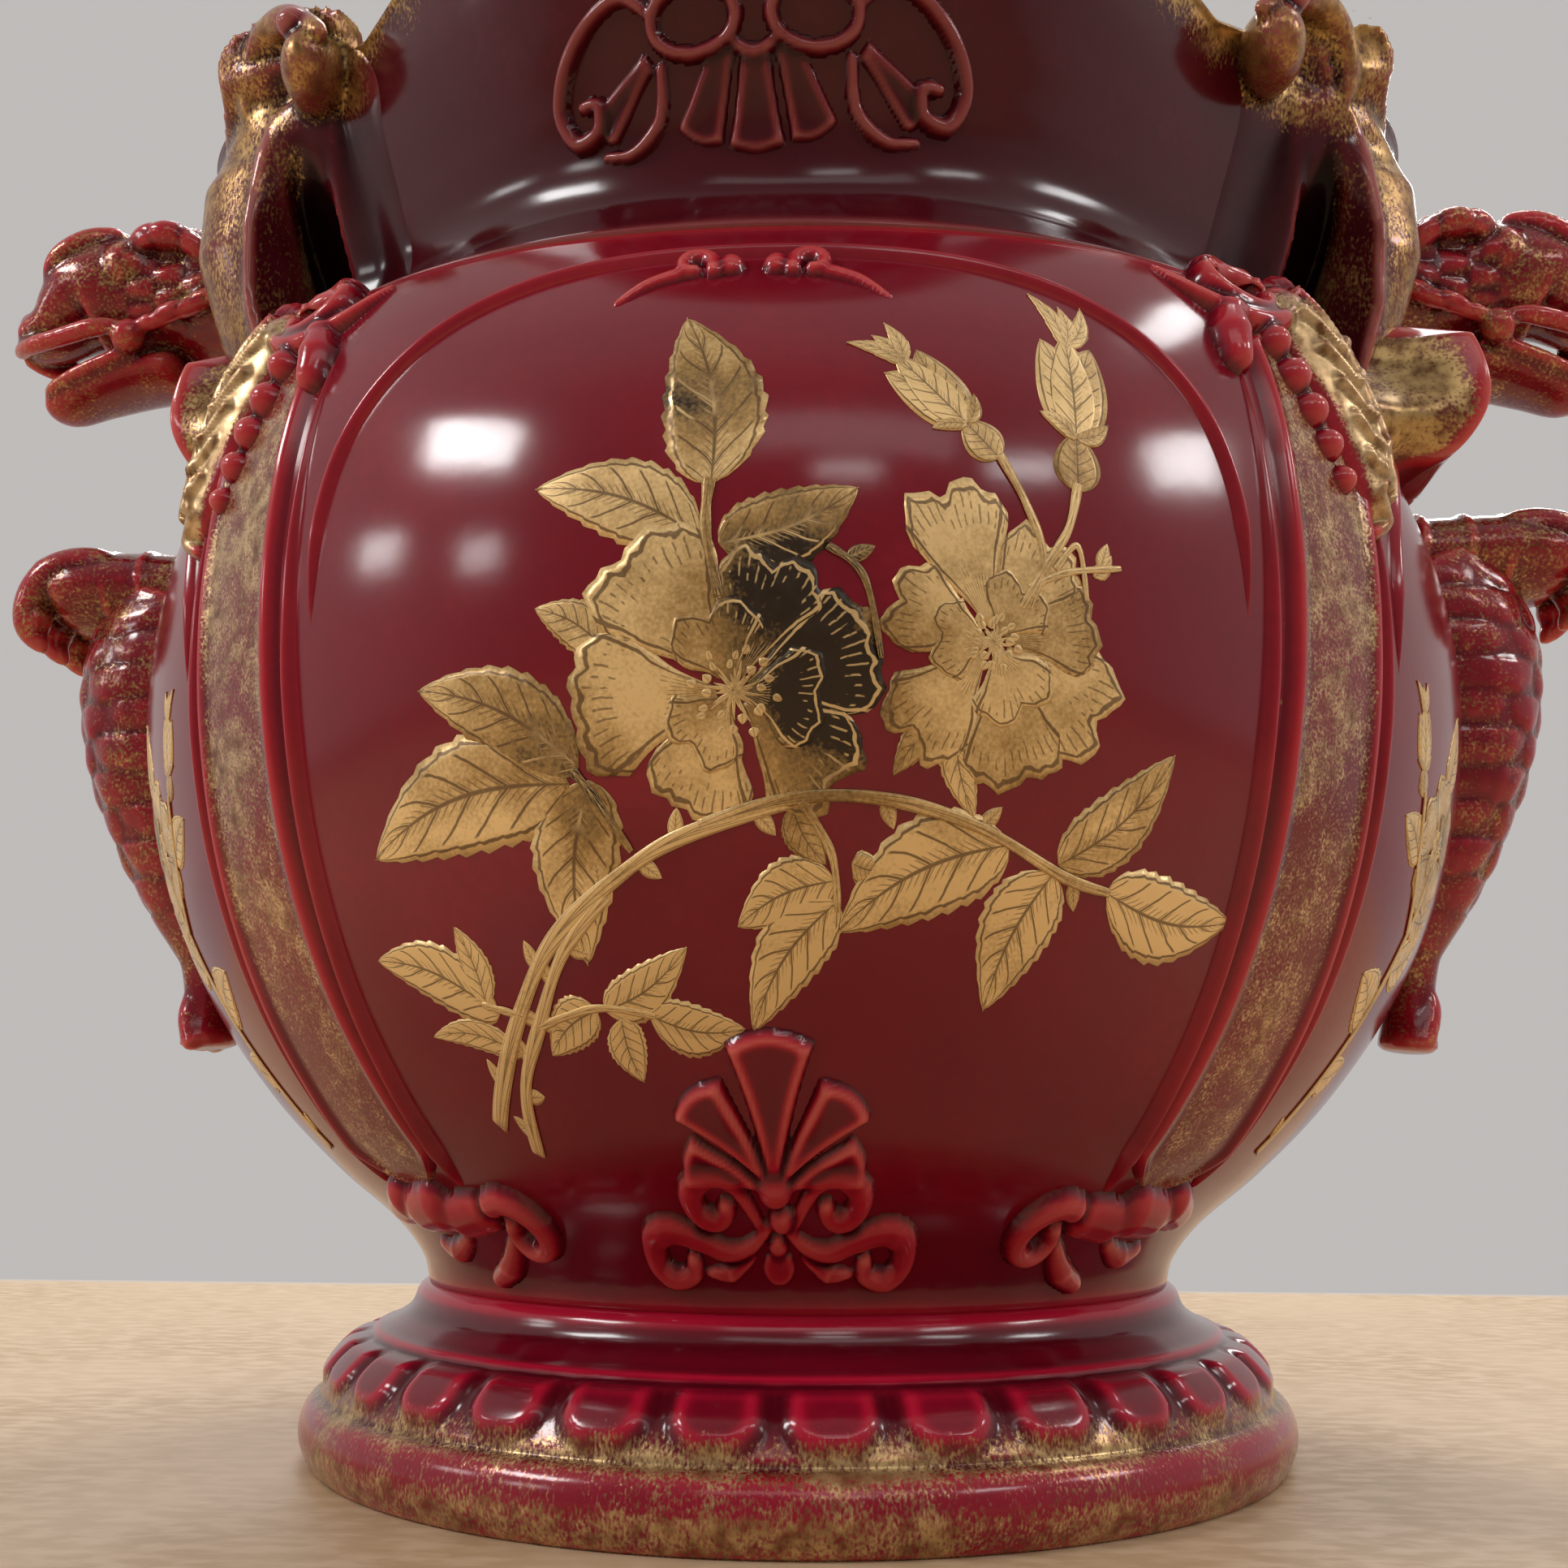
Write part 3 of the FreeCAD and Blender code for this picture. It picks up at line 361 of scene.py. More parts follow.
    @staticmethod
    def lump(name: str, parts: Sequence[Piece], grain: float, strokes: int) -> Piece:
        """Presses parts into one lump and smooths the joins with a wet finger.

        Args:
            name: The lump's name.
            parts: Closed parts that overlap.
            grain: Size of the smallest form that is kept.
            strokes: How often the surface is smoothed.

        Returns:
            The lump.
        """
        lump = Bench.join(name, parts)
        Bench.modify(lump, "REMESH", mode="VOXEL", voxel_size=grain, use_smooth_shade=True)
        Bench.modify(lump, "SMOOTH", factor=0.5, iterations=strokes)
        return lump

    @staticmethod
    def twin(obj: Piece, name: str, sideways: int, frontal: int) -> Piece:
        """Copies a piece to another corner.

        Args:
            obj: The piece on the front right.
            name: The copy's name.
            sideways: 1 for the right side, -1 for the left.
            frontal: 1 for the front, -1 for the back.

        Returns:
            The copy, with its own mesh.
        """
        copy = obj.copy()
        copy.data = obj.data.copy()
        copy.name = name
        bpy.context.scene.collection.objects.link(copy)
        Bench.write(copy, Bench.read(copy) * np.array([sideways, frontal, 1]))
        if sideways * frontal < 0:
            copy.data.flip_normals()
        return copy

    @staticmethod
    def to_corner(obj: Piece, name: str, corner: Corner) -> Piece:
        """Copies a piece from the front right corner to another, whose name ends the copy's name."""
        return Bench.twin(obj, name + corner.word, corner.value[0].value, corner.value[1])

    @staticmethod
    def mark(obj: Piece, word: str, values: Array) -> None:
        """Writes a number on each vertex for the glaze to read."""
        attribute = obj.data.attributes.get(word) or obj.data.attributes.new(word, "FLOAT", "POINT")
        attribute.data.foreach_set("value", np.ascontiguousarray(values, np.float32))

    @staticmethod
    def mark_edges(obj: Piece, spread: int, gain: float, wash_and_painted_shade: Array | float = 0.0) -> None:
        """Marks where glaze runs thin, on what stands out, and where it pools, in hollows.

        Args:
            obj: The object, in millimetres.
            spread: How often the mark is averaged with its neighbours.
            gain: How strongly a bend counts.
            wash_and_painted_shade: How much thinner the glaze lies on each vertex besides; where negative, it darkens
                the glaze towards pooled, which paints shade into the corner folds' hollows.
        """
        mesh = obj.data
        count = len(mesh.vertices)
        ends = np.zeros(len(mesh.edges) * 2, np.int64)
        mesh.edges.foreach_get("vertices", ends)
        first, second = ends[0::2], ends[1::2]
        degree = np.maximum(np.bincount(first, minlength=count) + np.bincount(second, minlength=count), 1)

        def around(values: Array) -> Array:
            """Averages a number over each vertex's neighbours."""
            return (np.bincount(first, values[second], count) + np.bincount(second, values[first], count)) / degree

        places, facing = Bench.read(obj), Bench.normals(obj)
        lean = sum((around(places[:, axis]) - places[:, axis]) * facing[:, axis] for axis in range(3))
        gaps = ((places[first] - places[second]) ** 2).sum(axis=1)
        square = (np.bincount(first, gaps, count) + np.bincount(second, gaps, count)) / degree
        bend = np.clip(-lean / np.maximum(square, 1e-6), -1.5, 1.5)
        for _ in range(spread):
            bend = 0.4 * bend + 0.6 * around(bend)
        Bench.mark(obj, "thin", np.clip(0.5 + gain * bend + wash_and_painted_shade, 0, 1))


@dataclass(frozen=True)
class PotForm:
    """The four-lobed outside of bowl and collar, which every other piece lies on. Sizes in millimetres."""

    foot_height: float = 27.0
    waist_radius: float = 63.0
    belly_radius: float = 116.4
    bowl_height: float = 145.0
    neck_radius: float = 92.8
    rim_radius: float = 116.8
    collar_height: float = 64.0
    corner_drop: float = 13.0
    arch_half_span: float = 75.0
    arch_rise: float = 11.5
    bowl_rows: tuple[Row, ...] = (
        (0.0, 0.0, 0.0), (0.03, 0.022, 0.0), (0.07, 0.11, 0.006), (0.124, 0.29, 0.014), (0.2, 0.5, 0.024),
        (0.3, 0.705, 0.034), (0.42, 0.87, 0.044), (0.55, 0.97, 0.05), (0.67, 1.0, 0.05), (0.78, 0.965, 0.04),
        (0.86, 0.88, 0.016), (0.925, 0.775, -0.012), (0.97, 0.685, -0.035), (1.0, 0.618, -0.05))
    collar_rows: tuple[Row, ...] = (
        (0.0, 0.158, -0.05), (0.07, 0.05, 0.0), (0.14, 0.0, 0.05), (0.25, 0.05, 0.085), (0.375, 0.215, 0.1),
        (0.515, 0.43, 0.115), (0.655, 0.64, 0.13), (0.78, 0.8, 0.14), (0.89, 0.92, 0.145), (1.0, 1.0, 0.15))

    @property
    def neck_height(self) -> float:
        """Height of the neck, where the bowl ends and the collar starts."""
        return self.foot_height + self.bowl_height

    @staticmethod
    def follow(rows: tuple[Row, ...], share: Array, column: int) -> Array:
        """Reads one column of a profile along a smooth line.

        Args:
            rows: The profile.
            share: Shares of its height.
            column: The column to read.

        Returns:
            The column's values there.
        """
        table = np.asarray(rows, float)
        last = len(table) - 1
        share = np.clip(share, 0, 1)
        low = np.clip(np.searchsorted(table[:, 0], share, side="left") - 1, 0, last - 1)
        before, after = np.maximum(low - 1, 0), np.minimum(low + 2, last)
        span = table[low + 1, 0] - table[low, 0]
        step = (share - table[low, 0]) / span
        start_slope = (table[low + 1, column] - table[before, column]) / (table[low + 1, 0] - table[before, 0]) * span
        end_slope = (table[after, column] - table[low, column]) / (table[after, 0] - table[low, 0]) * span
        cube, square = step ** 3, step ** 2
        return ((2 * cube - 3 * square + 1) * table[low, column] + (cube - 2 * square + step) * start_slope
                + (3 * square - 2 * cube) * table[low + 1, column] + (cube - square) * end_slope)

    def radius(self, azimuth: Array, height: Array) -> Array:
        """Gives the outside's radius.

        Args:
            azimuth: Angles round the pot in degrees, 0 at the front and growing to the right.
            height: Heights.

        Returns:
            Radii there.
        """
        low = (height - self.foot_height) / self.bowl_height
        high = (height - self.neck_height) / self.collar_height
        bowl = self.waist_radius + (self.belly_radius - self.waist_radius) * self.follow(self.bowl_rows, low, 1)
        collar = self.neck_radius + (self.rim_radius - self.neck_radius) * self.follow(self.collar_rows, high, 1)
        below = height <= self.neck_height
        pinch = np.where(below, self.follow(self.bowl_rows, low, 2), self.follow(self.collar_rows, high, 2))
        return np.where(below, bowl, collar) * (1 - pinch * np.sin(np.radians(2 * azimuth)) ** 2)

    def radius_at(self, azimuth: float, height: float) -> float:
        """Gives the outside's radius at one azimuth and height."""
        return float(self.radius(np.full(1, azimuth), np.full(1, height))[0])

    @staticmethod
    def at(azimuth: Array, radius: Array, height: Array) -> Array:
        """Gives the points at azimuths, radii and heights."""
        turn = np.radians(azimuth)
        return np.stack(np.broadcast_arrays(radius * np.sin(turn), -radius * np.cos(turn), height), axis=-1)

    def on(self, azimuth: Array, height: Array, lift: Array | float = 0.0) -> Array:
        """Gives points on the outside, lifted square off it.

        Args:
            azimuth: Angles round the pot.
            height: Heights.
            lift: How far the points stand off.

        Returns:
            The points.
        """
        azimuth, height = np.broadcast_arrays(np.asarray(azimuth, float), np.asarray(height, float))
        spot = self.at(azimuth, self.radius(azimuth, height), height)
        up = (self.at(azimuth, self.radius(azimuth, height + 0.6), height + 0.6)
              - self.at(azimuth, self.radius(azimuth, height - 0.6), height - 0.6))
        across = (self.at(azimuth + 0.3, self.radius(azimuth + 0.3, height), height)
                  - self.at(azimuth - 0.3, self.radius(azimuth - 0.3, height), height))
        return spot + unit(np.cross(across, up)) * np.asarray(lift)[..., None]

    def rim_height(self, azimuth: Array) -> Array:
        """Gives the height of the rim, which arches over each panel and dips at the corners.

        Args:
            azimuth: Angles round the pot.

        Returns:
            The heights there.
        """
        top, turn = self.neck_height + self.collar_height, np.radians(azimuth)
        radius = self.radius(azimuth, np.full_like(azimuth, top - 6))
        reach = np.minimum(np.abs(radius * np.sin(turn)), np.abs(radius * np.cos(turn)))
        half, rise = self.arch_half_span, self.arch_rise
        bow = (half ** 2 + rise ** 2) / (2 * rise)
        arch = np.sqrt(np.maximum(bow ** 2 - np.minimum(reach, half) ** 2, 0)) - (bow - rise)
        return top - self.corner_drop + np.maximum(arch, 0)


POT = PotForm()


# Finishes

class Sheet:
    """A material's node tree with short ways to add to it."""

    def __init__(self, name: str) -> None:
        """Starts a material with one Principled shader.

        Args:
            name: Its name.
        """
        self.material = bpy.data.materials.new(name)
        self.material.use_nodes = True
        self.tree = self.material.node_tree
        self.shader = self.tree.nodes["Principled BSDF"]
        self.place = self.tree.nodes.new("ShaderNodeTexCoord").outputs["Object"]

    def feed(self, socket: Socket, value: object) -> None:
        """Links a socket to another, or sets its number or colour.

        Args:
            socket: The socket to feed.
            value: A socket, number or colour.
        """
        if isinstance(value, Socket):
            self.tree.links.new(value, socket)
        elif isinstance(value, tuple) and len(value) == 3 and socket.type == "RGBA":
            socket.default_value = (*value, 1.0)
        else:
            socket.default_value = value

    def add(self, kind: str, inputs: dict[int | str, object], output: int | str = 0, **settings: object) -> Socket:
        """Adds a node.

        Args:
            kind: Its kind.
            inputs: What feeds each of its inputs.
            output: The output to give back.
            settings: Its settings.

        Returns:
            The output.
        """
        node = self.tree.nodes.new("ShaderNode" + kind)
        for setting, value in settings.items():
            setattr(node, setting, value)
        for index, value in inputs.items():
            self.feed(node.inputs[index], value)
        return node.outputs[output]

    def math(self, operation: str, *values: object) -> Socket:
        """Adds one sum of two or three numbers."""
        return self.add("Math", dict(enumerate(values)), operation=operation)

    def step(self, value: object, low: float, high: float, first: float = 0.0, last: float = 1.0) -> Socket:
        """Turns a number into a soft step, from first at low and below it to last at high and over it."""
        inputs = {"Value": value, "From Min": low, "From Max": high, "To Min": first, "To Max": last}
        return self.add("MapRange", inputs, "Result", interpolation_type="SMOOTHSTEP")

    def mix(self, share: object, first: object, second: object) -> Socket:
        """Mixes two colours."""
        return self.add("Mix", {0: share, 6: first, 7: second}, 2, data_type="RGBA")

    def ramp(self, value: object, stops: Sequence[tuple[float, Colour]]) -> Socket:
        """Turns a number into a colour by a row of stops.

        Args:
            value: The number.
            stops: Places and colours, in order.

        Returns:
            The colour.
        """
        node = self.tree.nodes.new("ShaderNodeValToRGB")
        row = node.color_ramp.elements
        row[0].position, row[1].position = stops[0][0], stops[-1][0]
        row[0].color, row[1].color = (*stops[0][1], 1), (*stops[-1][1], 1)
        for position, colour in stops[1:-1]:
            row.new(position).color = (*colour, 1)
        self.feed(node.inputs[0], value)
        return node.outputs[0]

    def noise(self, size: float, detail: float, stretch: Row = (1.0, 1.0, 1.0)) -> Socket:
        """Adds a cloudy pattern from 0 to 1, of clouds so many millimetres wide, squeezed along the axes."""
        place = self.add("Mapping", {"Vector": self.place, "Scale": stretch})
        return self.add("TexNoise", {"Vector": place, "Scale": 1000.0 / size, "Detail": detail}, "Fac")

    def swing(self, size: float, detail: float, gain: float, stretch: Row = (1.0, 1.0, 1.0)) -> Socket:
        """Adds a cloudy pattern that swings about 0, as wide as its gain."""
        return self.math("MULTIPLY_ADD", self.noise(size, detail, stretch), gain, -gain / 2)

    def mark(self, word: str) -> Socket:
        """Reads a number that was written on the piece's vertices."""
        return self.add("Attribute", {}, "Fac", attribute_name=word)

    def bump(self, height: object, depth: float, strength: float, below: Socket | None = None) -> Socket:
        """Turns a pattern into small relief, so many millimetres deep, on the relief below it."""
        under = {} if below is None else {"Normal": below}
        return self.add("Bump", {"Strength": strength, "Distance": depth / 1000, "Height": height, **under})

    def set(self, **inputs: object) -> None:
        """Feeds the shader's inputs, named with underscores for spaces."""
        for name, value in inputs.items():
            self.feed(self.shader.inputs[name.replace("_", " ")], value)


@dataclass(frozen=True)
class LustreGlaze:
    """Ruby glaze over a pale body: dark where it pools, pink-red where it runs thin, with sponged gold on it; its
    shine is also lowered where it pools, as painted shade.
    """

    name: str
    pooled: Colour = (0.02, 0.001, 0.003)
    deep: Colour = (0.09, 0.0018, 0.008)
    ruby: Colour = (0.19, 0.003, 0.013)
    bright: Colour = (0.42, 0.014, 0.028)
    thin: Colour = (0.62, 0.1, 0.09)
    gold: Colour = (0.62, 0.43, 0.19)
    bronze: Colour = (0.17, 0.085, 0.025)
    grain: float = 0.5
    streak: Row = (1.0, 1.0, 1.0)
    shine: float = 0.42
    roughness: float = 0.15
    gold_roughness: float = 0.32

    def make(self) -> bpy.types.Material:
        """Builds the material.

        Returns:
            The material.
        """
        sheet = Sheet(self.name)
        depth = sheet.math("ADD", sheet.math("ADD", sheet.mark("thin"), sheet.swing(26, 3, 0.16)),
                           sheet.swing(1.6, 2, 0.05))
        colour = sheet.ramp(depth, ((0.0, self.pooled), (0.36, self.deep), (0.52, self.ruby), (0.7, self.bright),
                                    (1.0, self.thin)))
        sponge = sheet.swing(self.grain, 2, 1.1, self.streak)
        patch = sheet.swing(8, 4, 0.8, self.streak)
        laid = sheet.mark("gold")
        cover = sheet.step(sheet.math("ADD", sheet.math("ADD", sponge, patch), laid), 0.32, 0.74)
        cover = sheet.math("MULTIPLY", cover, sheet.step(laid, 0.02, 0.14, 0.0, 0.9))
        tone = sheet.ramp(sheet.noise(2.4, 3), ((0.3, self.bronze), (0.62, self.gold)))
        grain = sheet.bump(sheet.noise(3.5, 2), 0.12, 0.12)
        # Painted shade: the specular level drops where the glaze pools, so hollows and creases reflect less, as if
        # shaded.
        sheet.set(Base_Color=sheet.mix(cover, colour, tone), Metallic=sheet.math("MULTIPLY", cover, 0.75),
                  Roughness=sheet.step(cover, 0, 1, self.roughness, self.gold_roughness),
                  Specular_IOR_Level=sheet.step(depth, 0.15, 0.45, 0.1, self.shine),
                  Normal=sheet.bump(cover, 0.05, 0.35, grain))
        return sheet.material


@dataclass(frozen=True)
class EngravedGilding:
    """Raised gold with engraved outlines, veins and hatching: dark lines on bright gold, bright ones on dark, with
    its reflections painted as brighter and darker gold.
    """

    name: str = "engraved_gilding"
    # The dark end is gold as it looks where it mirrors dark surroundings, a painted reflection.
    dark: Colour = (0.03, 0.016, 0.006)
    warm: Colour = (0.42, 0.25, 0.08)
    bright: Colour = (0.86, 0.6, 0.27)
    line: Colour = (0.1, 0.045, 0.014)

    def make(self) -> bpy.types.Material:
        """Builds the material.

        Returns:
            The material.
        """
        sheet = Sheet(self.name)
        along, side = sheet.mark("along"), sheet.mark("side")
        out = sheet.math("ABSOLUTE", side)
        waver = sheet.swing(2.6, 2, 0.16)
        outline = self.stroke(sheet, sheet.math("MULTIPLY_ADD", waver, 0.6, out), 0.86, 0.035)
        rib = sheet.step(out, 0.025, 0.06, 1, 0)
        phase = sheet.math("ADD", sheet.math("MULTIPLY_ADD", out, -1.6, sheet.math("MULTIPLY", along, 6.0)), waver)
        veins = self.stroke(sheet, sheet.math("FRACT", phase), 0.5, 0.07)
        veins = sheet.math("MULTIPLY", veins, sheet.step(out, 0.74, 0.8, 1, 0))
        fine = self.stroke(sheet, sheet.math("FRACT", sheet.math("MULTIPLY", phase, 4.0)), 0.5, 0.16)
        near_rib = sheet.step(sheet.math("ADD", out, sheet.math("MULTIPLY", waver, 2.0)), 0.2, 0.34, 1, 0)
        fine = sheet.math("MULTIPLY", fine, sheet.math("MULTIPLY", near_rib, 0.7))
        leaf = sheet.math("MAXIMUM", sheet.math("MAXIMUM", outline, rib), sheet.math("MAXIMUM", veins, fine))
        tip = self.stroke(sheet, sheet.math("MULTIPLY_ADD", waver, 0.8, along), 0.93, 0.022)
        ray = sheet.math("MULTIPLY_ADD", side, 7.0, sheet.math("MULTIPLY", waver, 3.0))
        hatch = self.stroke(sheet, sheet.math("FRACT", ray), 0.5, 0.13)
        ragged = sheet.math("MULTIPLY_ADD", sheet.noise(1.6, 1), 0.5, along)
        outer_band = sheet.math("MULTIPLY", sheet.step(ragged, 0.98, 1.02), sheet.step(ragged, 1.1, 1.14, 1, 0))
        reach = sheet.math("MAXIMUM", sheet.step(ragged, 0.55, 0.62, 1, 0), outer_band)
        petal = sheet.math("MAXIMUM", sheet.math("MAXIMUM", outline, tip),
                           sheet.math("MULTIPLY", hatch, sheet.math("MULTIPLY", reach, 0.8)))
        kind = sheet.mark("petal")
        lines = sheet.math("ADD", sheet.math("MULTIPLY", petal, kind),
                           sheet.math("MULTIPLY", leaf, sheet.math("SUBTRACT", 1.0, kind)))
        # The tone mark is painted reflection, darkening the gold where it mirrors dark surroundings; the noise on it
        # is the gilding's own uneven tone.
        tone = sheet.math("ADD", sheet.mark("tone"), sheet.swing(7, 3, 0.9))
        grained = sheet.math("ADD", tone, sheet.swing(0.5, 2, 0.5))
        gold = sheet.ramp(grained, ((0.08, self.dark), (0.45, self.warm), (0.85, self.bright)))
        drawn = sheet.mix(sheet.step(tone, 0.15, 0.4), self.bright, self.line)
        colour = sheet.mix(sheet.math("MULTIPLY", lines, 0.8), gold, drawn)
        brush = sheet.bump(sheet.noise(0.6, 2), 0.04, 0.35)
        sheet.set(Base_Color=colour, Metallic=0.35, Roughness=sheet.step(sheet.noise(2.0, 2), 0.3, 0.7, 0.3, 0.46),
                  Normal=sheet.bump(lines, 0.07, -0.5, brush))
        return sheet.material

    @staticmethod
    def stroke(sheet: Sheet, value: object, middle: float, half: float) -> Socket:
        """Draws a line where a number is near a value.

        Args:
            sheet: The material.
            value: The number.
            middle: The value.
            half: Half the line's width.

        Returns:
            1 on the line and 0 off it.
        """
        away = sheet.math("ABSOLUTE", sheet.math("SUBTRACT", value, middle))
        return sheet.step(away, half * 0.6, half, 1, 0)


@dataclass(frozen=True)
class PaleTop:
    """A mottled pale table top; behind the pot it turns as pale as the backdrop."""

    near: Colour = (0.6, 0.44, 0.28)
    mottle: Colour = (0.45, 0.3, 0.16)
    beyond: Colour = (0.52, 0.5, 0.49)
    edge: float = 0.25

    def make(self) -> bpy.types.Material:
        """Builds the material.

        Returns:
            The material.
        """
        sheet = Sheet("pale_top")
        split = sheet.tree.nodes.new("ShaderNodeSeparateXYZ")
        sheet.feed(split.inputs[0], sheet.place)
        beyond = sheet.step(split.outputs["Y"], self.edge, self.edge + 0.012)
        spots = sheet.step(sheet.noise(7, 5, (1.0, 2.0, 1.0)), 0.35, 0.62)
        clouds = sheet.math("MULTIPLY", spots, sheet.step(sheet.noise(60, 3), 0.3, 0.7, 0.35, 1.0))
        mottled = sheet.mix(clouds, self.near, self.mottle)
        sheet.set(Base_Color=sheet.mix(beyond, mottled, (0.0, 0.0, 0.0)), Roughness=0.42,
                  Specular_IOR_Level=sheet.step(beyond, 0, 1, 0.35, 0.0), Emission_Color=self.beyond,
                  Emission_Strength=beyond)
        return sheet.material


@dataclass
class Finisher:
    """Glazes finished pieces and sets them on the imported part."""

    glazes: dict[str, bpy.types.Material] = field(default_factory=dict)

    def __post_init__(self) -> None:
        """Mixes the glazes."""
        recipes = (
            LustreGlaze("ruby_glaze"),
            LustreGlaze("gilt_glaze", gold=(0.66, 0.47, 0.24), grain=0.45),
            LustreGlaze("gilt_foot", ruby=(0.17, 0.0028, 0.013), bright=(0.42, 0.006, 0.03), thin=(0.5, 0.03, 0.045),
                        grain=0.42, streak=(1.0, 1.0, 0.5)),
            LustreGlaze("dragon_glaze", gold=(0.52, 0.35, 0.14), bronze=(0.16, 0.085, 0.025), grain=0.6),
            LustreGlaze("collar_glaze", pooled=(0.006, 0.001, 0.0015), deep=(0.03, 0.0018, 0.004),
                        ruby=(0.066, 0.0035, 0.008), bright=(0.18, 0.022, 0.026), thin=(0.36, 0.1, 0.09),
                        gold=(0.5, 0.3, 0.1), streak=(1.0, 1.0, 0.6), shine=0.3))
        self.glazes = {recipe.name: recipe.make() for recipe in recipes}
        self.gilding = EngravedGilding().make()

    def glaze(self, obj: Piece, slot: str, nodes: Sequence[str], gold: Array | float = 0.0,
              spread: int = 3, gain: float = 3.0, wash_and_painted_shade: Array | float = 0.0) -> Piece:
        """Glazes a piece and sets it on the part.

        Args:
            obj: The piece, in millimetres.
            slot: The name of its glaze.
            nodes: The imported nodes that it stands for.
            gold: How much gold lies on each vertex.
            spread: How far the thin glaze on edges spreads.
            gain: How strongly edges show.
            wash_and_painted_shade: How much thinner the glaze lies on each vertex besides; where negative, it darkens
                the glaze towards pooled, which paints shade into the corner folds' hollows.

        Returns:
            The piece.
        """
        Bench.mark_edges(obj, spread, gain, wash_and_painted_shade)
        Bench.mark(obj, "gold", np.broadcast_to(np.asarray(gold, float), len(obj.data.vertices)))
        return self.settle(obj, self.glazes[slot], nodes)

    def settle(self, obj: Piece, material: bpy.types.Material, nodes: Sequence[str]) -> Piece:
        """Brings a piece to metres, gives it its material and lets it ride.

        Args:
            obj: The piece, in millimetres.
            material: Its material.
            nodes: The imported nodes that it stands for.

        Returns:
            The piece.
        """
        obj.data.transform(Matrix.Scale(0.001, 4))
        obj.data.name = obj.name
        obj.data.materials.clear()
        obj.data.materials.append(material)
        obj.data.shade_smooth()
        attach(obj, "root")
        if nodes:
            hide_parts(*nodes)
        log.info("%s: %d faces", obj.name, len(obj.data.polygons))
        return obj


# Turned and pressed bodies

@dataclass
class Work:
    """A job at the bench, with the finisher that glazes what comes of it."""

    finisher: Finisher


@dataclass
class Foot(Work):
    """The turned foot: rest ring, torus, band with raised tongues, ridge and hollow neck."""

    columns: int = 704
    tongue_count: int = 32
    tongue_rise: float = 1.25
    tongue_gap: float = 1.3
    tip_radius: float = 5.4
    band_low: float = 10.6
    band_high: float = 19.6
    band_radius: float = 71.0
    outline: tuple[Row, ...] = (
        (56.6, 27.0), (56.6, 22.0), (57.2, 19.4), (65.0, 9.6), (73.0, 0.9), (73.8, 0.1), (79.8, 0.0), (80.7, 0.25),
        (81.7, 1.8), (82.5, 4.0), (82.5, 6.4), (81.7, 8.6), (80.5, 9.9), (79.5, 10.4), (79.35, 10.9), (79.15, 11.6),
        (78.2, 13.4), (76.9, 15.4), (75.1, 17.2), (73.2, 18.5), (72.1, 19.05), (71.75, 19.55), (71.3, 20.1),
        (70.2, 20.45), (69.1, 20.9), (66.8, 22.3), (65.7, 23.4), (65.1, 24.7), (64.7, 25.9), (63.7, 26.9),
        (62.2, 27.3))

    def build(self) -> Piece:
        """Turns the foot, raises its tongues and glazes it.

        Returns:
            The foot.
        """
        knots = np.asarray(self.outline)
        dense = through(knots, 8 * (len(knots) - 1) + 1)
        length = np.concatenate([[0], np.cumsum(np.linalg.norm(np.diff(dense, axis=0), axis=1))])
        band = (dense[:, 1] > self.band_low) & (dense[:, 1] < self.band_high) & (dense[:, 0] > self.band_radius)
        weight = np.gradient(length) * np.where(band, 2.6, np.where(dense[:, 0] > 62, 1.3, 0.35))
        ladder = np.cumsum(weight)
        ladder = (ladder - ladder[0]) / (ladder[-1] - ladder[0])
        start = length[np.argmax(band)]
        span = length[len(band) - 1 - np.argmax(band[::-1])] - start
        pitch = 360 / self.tongue_count

        def shape(around: Array, up: Array) -> Array:
            """Turns the profile and lifts the tongues off it."""
            step = np.interp(up, ladder, length)
            radius, height = np.interp(step, length, dense[:, 0]), np.maximum(np.interp(step, length, dense[:, 1]), 0)
            azimuth = 360 * around
            rise = step - start
            offset = (np.mod(azimuth, pitch) - pitch / 2) * pi / 180 * radius
            half = pitch / 2 * pi / 180 * radius - self.tongue_gap / 2
            corner = np.hypot(np.maximum(np.abs(offset) - half + self.tip_radius, 0),
                              np.maximum(self.tip_radius + 0.8 - rise, 0))
            inside = np.minimum(self.tip_radius - corner, np.minimum(half - np.abs(offset), rise - 0.8))
            lift = self.tongue_rise * fade(inside, -0.2, 2.6) * fade(span - rise, 0.2, 3.6)
            lift = np.where((rise > 0) & (rise < span), lift, 0)
            return PotForm.at(azimuth, radius + lift * 0.85, height + lift * 0.5)

        foot = Bench.skin("foot_glazed", self.columns, 96, shape)
        places = Bench.read(foot)
        height, radius = places[:, 2], reach_of(places)
        gold = 0.55 * fade(height, 17.5, 11) * (1 - 0.35 * fade(height, 9.8, 8.4) * fade(height, 4.6, 6.0))
        gold = np.where(radius > 66, gold, 0)
        return self.finisher.glaze(foot, "gilt_foot", ["foot", "foot_tongues"], gold, 2, 1.9)


